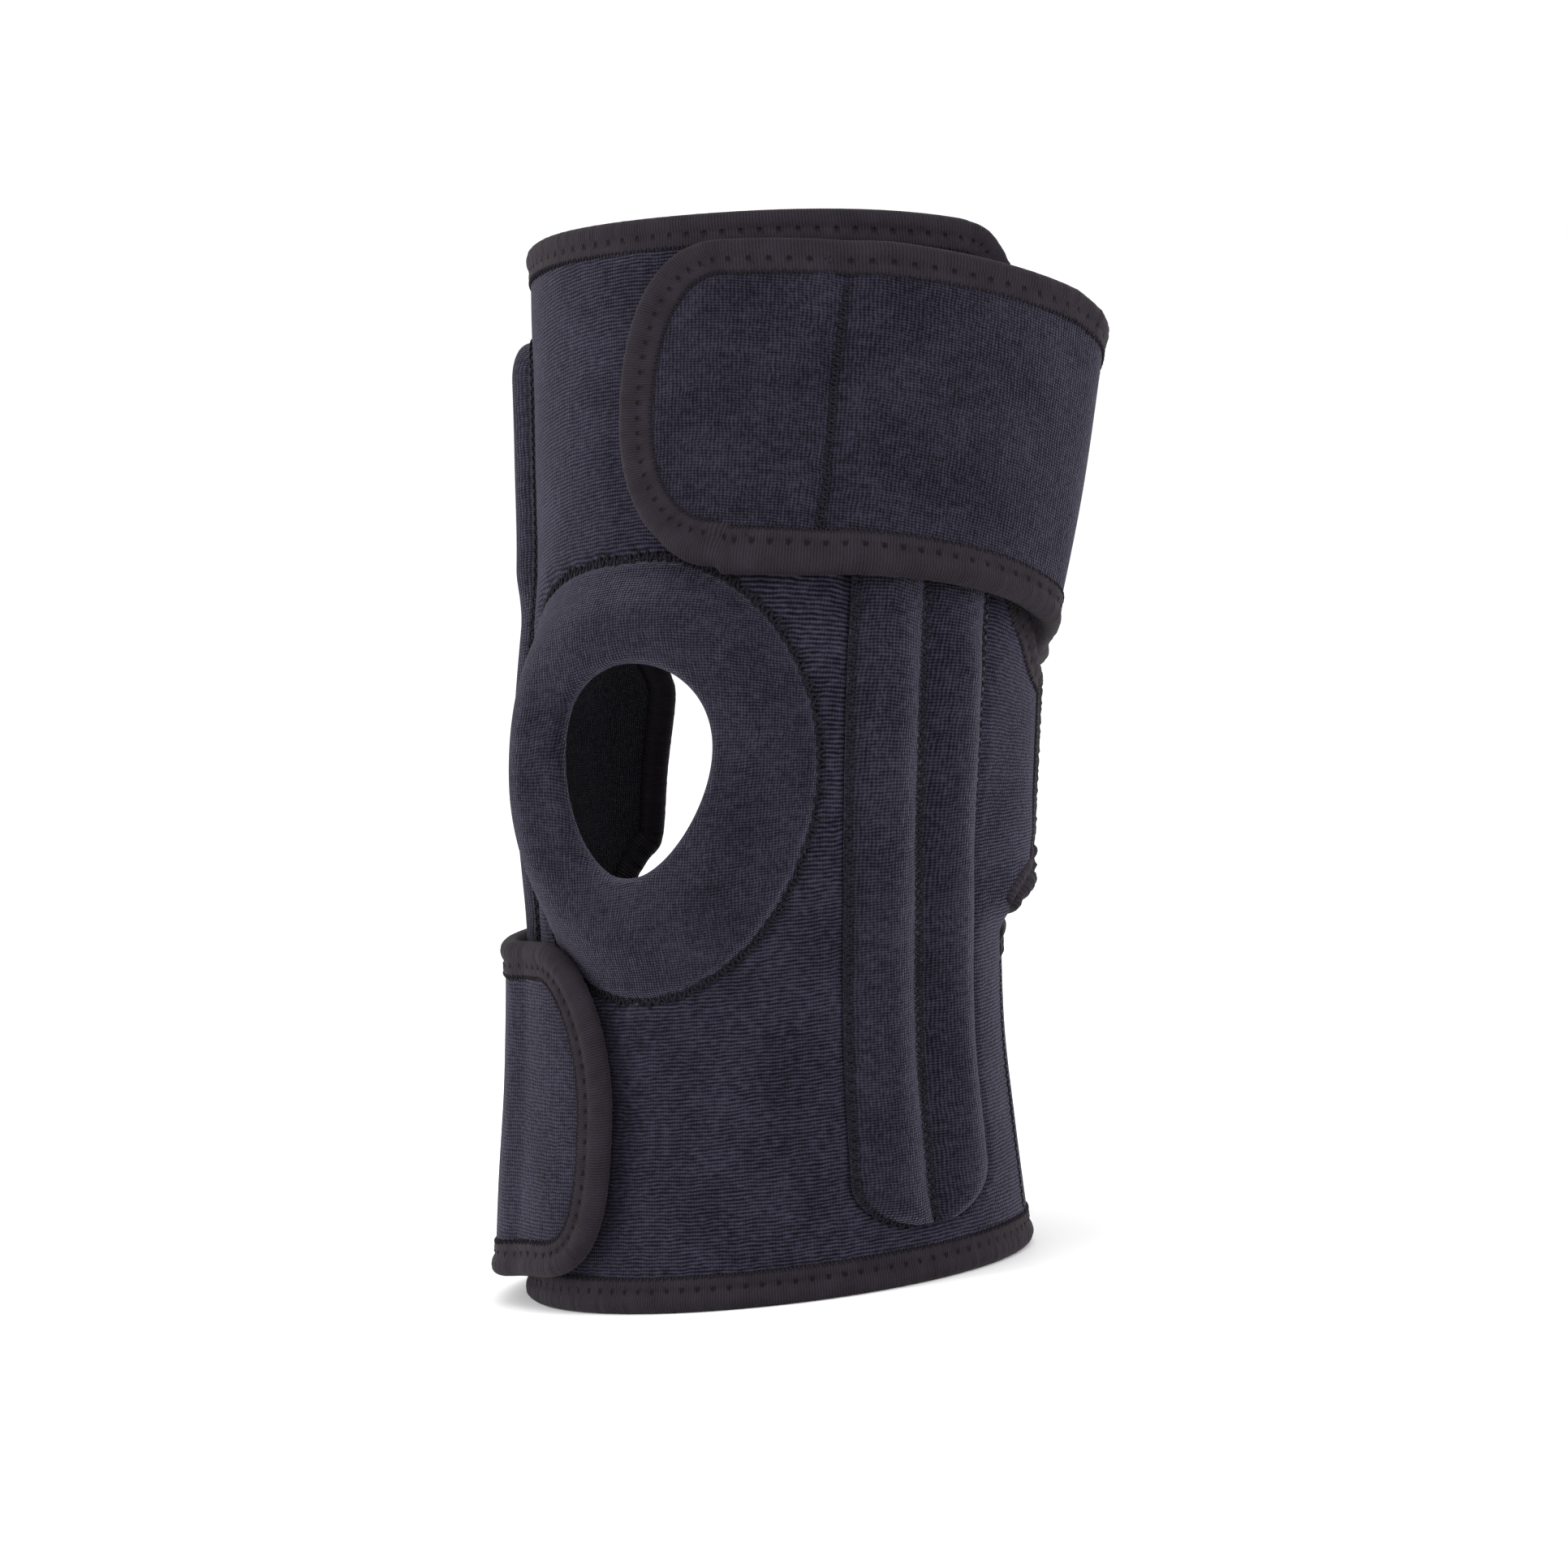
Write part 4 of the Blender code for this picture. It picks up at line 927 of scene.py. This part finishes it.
def build_pocket(prefix, side):
    across = np.linspace(-1, 1, 45)
    share = (1 - np.cos(math.pi * np.linspace(0.03, 0.97, 150))) / 2
    along = POCKET_LOW + (POCKET_HIGH - POCKET_LOW) * share
    across, along = np.meshgrid(across, along, indexing="ij")
    turn = (pocket_middle(along, side)
            + side * across * pocket_half_turn(along, side) * pocket_end_share(along))
    places = np.stack([turn, along], -1)
    arch = pocket_arch(across, along, side)
    edge = np.abs(across) ** 6
    seam = valley((np.abs(across) - 0.93) * 21, 0.45, 1.3) + valley(across * 21, 0.9, 1.7)
    wrinkle = 0.16 * ripple(turn, along, 4.0) * clamp(arch)
    sewn_down = 1 - clamp(arch / 1.5)
    under = (panel_top(turn, along) + arch - 0.7 * sewn_down).ravel()
    over = (panel_top(turn, along) + POCKET_CLOTH - 0.35 * edge - seam + arch + wrinkle).ravel()
    cover = thick_sheet(prefix + "_stay_pocket_cover", places, grid_quads(*across.shape),
                        lambda turn, along: under, lambda turn, along: over, [PATCH_KNIT])
    bend_at_knee(cover, prefix + "_stay_pocket")

    def seam_line(share_across):
        line = np.linspace(POCKET_LOW + 1.2, POCKET_HIGH - 1.2, 300)
        reach = pocket_half_turn(line, side) * pocket_end_share(line)
        return np.stack([pocket_middle(line, side) + side * share_across * reach, line], 1)

    outline = joined(seam_line(-0.95), seam_line(0.95)[::-1])
    outline = np.concatenate([outline, outline[:1]])

    def edge_height(turn, along):
        return panel_top(turn, along) + POCKET_CLOTH - 0.35

    def middle_height(turn, along):
        return panel_top(turn, along) + POCKET_CLOTH - 0.75

    seams = [zigzag(outline, edge_height, 1.35, 1.2), zigzag(seam_line(-0.035), middle_height, 1.2, 1.2),
             zigzag(seam_line(0.035), middle_height, 1.2, 1.3)]
    bend_at_knee(stitches(prefix + "_stay_pocket_stitches", seams, 0.28))


COIL_PITCH, COIL_HALF_WIDTH, COIL_HALF_HEIGHT = 3.1, 2.6, 0.36
WIRE_RADIUS, WIRE_SIDES, WIRE_STEPS = 0.38, 6, 12


def build_stay(prefix, label, side, share):
    """A flattened coil of spring wire, which bends edgeways with the knee."""
    turns = (STAY_HIGH - STAY_LOW) / COIL_PITCH
    t = np.linspace(0, 1, int(turns * WIRE_STEPS))
    along = STAY_LOW + (STAY_HIGH - STAY_LOW) * t
    phase = 2 * math.pi * turns * t
    turn = pocket_middle(along, side) + side * share * pocket_half_turn(along, side)
    turn = turn + np.degrees(COIL_HALF_WIDTH * np.cos(phase) / TURN_RADIUS)
    off = panel_top(turn, along) + 1.15 + COIL_HALF_HEIGHT * np.sin(phase)
    line = on_limb(turn, along, off)
    tangent = np.gradient(line, axis=0)
    tangent /= np.linalg.norm(tangent, axis=1)[:, None]
    up = on_limb(turn, along, off + 1) - line
    beside = np.cross(tangent, up)
    beside /= np.linalg.norm(beside, axis=1)[:, None]
    up = np.cross(beside, tangent)
    points = []
    for k in range(WIRE_SIDES):
        angle = 2 * math.pi * k / WIRE_SIDES
        points.append(line + WIRE_RADIUS * MM * (math.cos(angle) * beside + math.sin(angle) * up))
    points = np.stack(points, 1).reshape(-1, 3)
    faces = tube_quads(len(line), WIRE_SIDES)
    faces += [tuple(range(WIRE_SIDES)), tuple(len(points) - 1 - k for k in range(WIRE_SIDES))]
    uv = np.zeros((len(points), 2))
    name = f"{prefix}_{label}_stay"
    coil = make_piece(name + "_coil", points, faces, [WIRE], uv)
    bend_at_knee(coil, name)


# ---------------------------------------------------------------- what stays CAD

def paint_cad():
    for name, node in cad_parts.items():
        material = HOOKS if name.endswith("hook_sheet") else CRIMP if name.endswith("cap") else None
        if material:
            node.data.materials.clear()
            node.data.materials.append(material)


# ---------------------------------------------------------------- studio

def build_floor():
    mesh = bpy.data.meshes.new("floor")
    ring = [(9 * math.cos(a), 9 * math.sin(a), 0.0) for a in np.linspace(0, 2 * math.pi, 96, endpoint=False)]
    mesh.from_pydata(ring, [], [tuple(range(96))])
    floor = bpy.data.objects.new("floor", mesh)
    bpy.context.scene.collection.objects.link(floor)
    g = Graph("pale_floor")
    place = g.add("ShaderNodeTexCoord").outputs["Object"]
    g.link(g.blend(g.noise(place, 0.4), (0.90, 0.90, 0.905, 1), (0.93, 0.93, 0.935, 1)), "Base Color")
    mesh.materials.append(g.finish(0.6))


def add_light(name, place, aim, size, power, colour=(1, 1, 1)):
    lamp = bpy.data.lights.new(name, "AREA")
    lamp.shape, lamp.size, lamp.size_y = "RECTANGLE", size[0], size[1]
    lamp.energy, lamp.color = power, colour
    light = bpy.data.objects.new(name, lamp)
    bpy.context.scene.collection.objects.link(light)
    light.location = place
    light.rotation_mode = "QUATERNION"
    light.rotation_quaternion = (Vector(aim) - Vector(place)).to_track_quat("-Z", "Y")


def build_studio():
    world = bpy.data.worlds.new("studio")
    bpy.context.scene.world = world
    world.use_nodes = True
    sky = world.node_tree.nodes["Background"]
    sky.inputs["Color"].default_value = (1.0, 1.0, 1.0, 1)
    sky.inputs["Strength"].default_value = 1.1
    middle = (0, 0, 0.14)
    add_light("left_softbox", (-1.5, -1.5, 0.9), middle, (0.9, 1.6), 44)
    add_light("right_softbox", (1.9, -0.5, 0.7), middle, (0.8, 1.5), 34)
    add_light("top_softbox", (0.2, -0.6, 2.0), middle, (1.4, 1.0), 9)
    bpy.context.scene.view_settings.view_transform = "Standard"


def build_camera():
    right = Vector((0.8377, 0.5345, -0.1120))
    up = Vector((0.0474, 0.1331, 0.9900))
    back = right.cross(up).normalized()
    right = up.cross(back).normalized()
    camera = bpy.data.cameras.new("camera")
    camera.sensor_width, camera.lens = 36.0, 181.8
    camera.clip_start, camera.clip_end = 0.05, 60
    view = bpy.data.objects.new("camera", camera)
    bpy.context.scene.collection.objects.link(view)
    turned = Matrix((right, back.cross(right), back)).transposed().to_4x4()
    view.matrix_world = Matrix.Translation((1.08264, -1.6739, 0.2930)) @ turned
    bpy.context.scene.camera = view


def main():
    build_front_panel()
    build_panel_bindings()
    build_strap("thigh")
    build_strap("calf")
    build_patella()
    for prefix, side in (("lateral", 1), ("medial", -1)):
        build_pocket(prefix, side)
        build_stay(prefix, "front", side, -0.5)
        build_stay(prefix, "rear", side, 0.5)
    paint_cad()
    build_floor()
    build_studio()
    build_camera()


main()
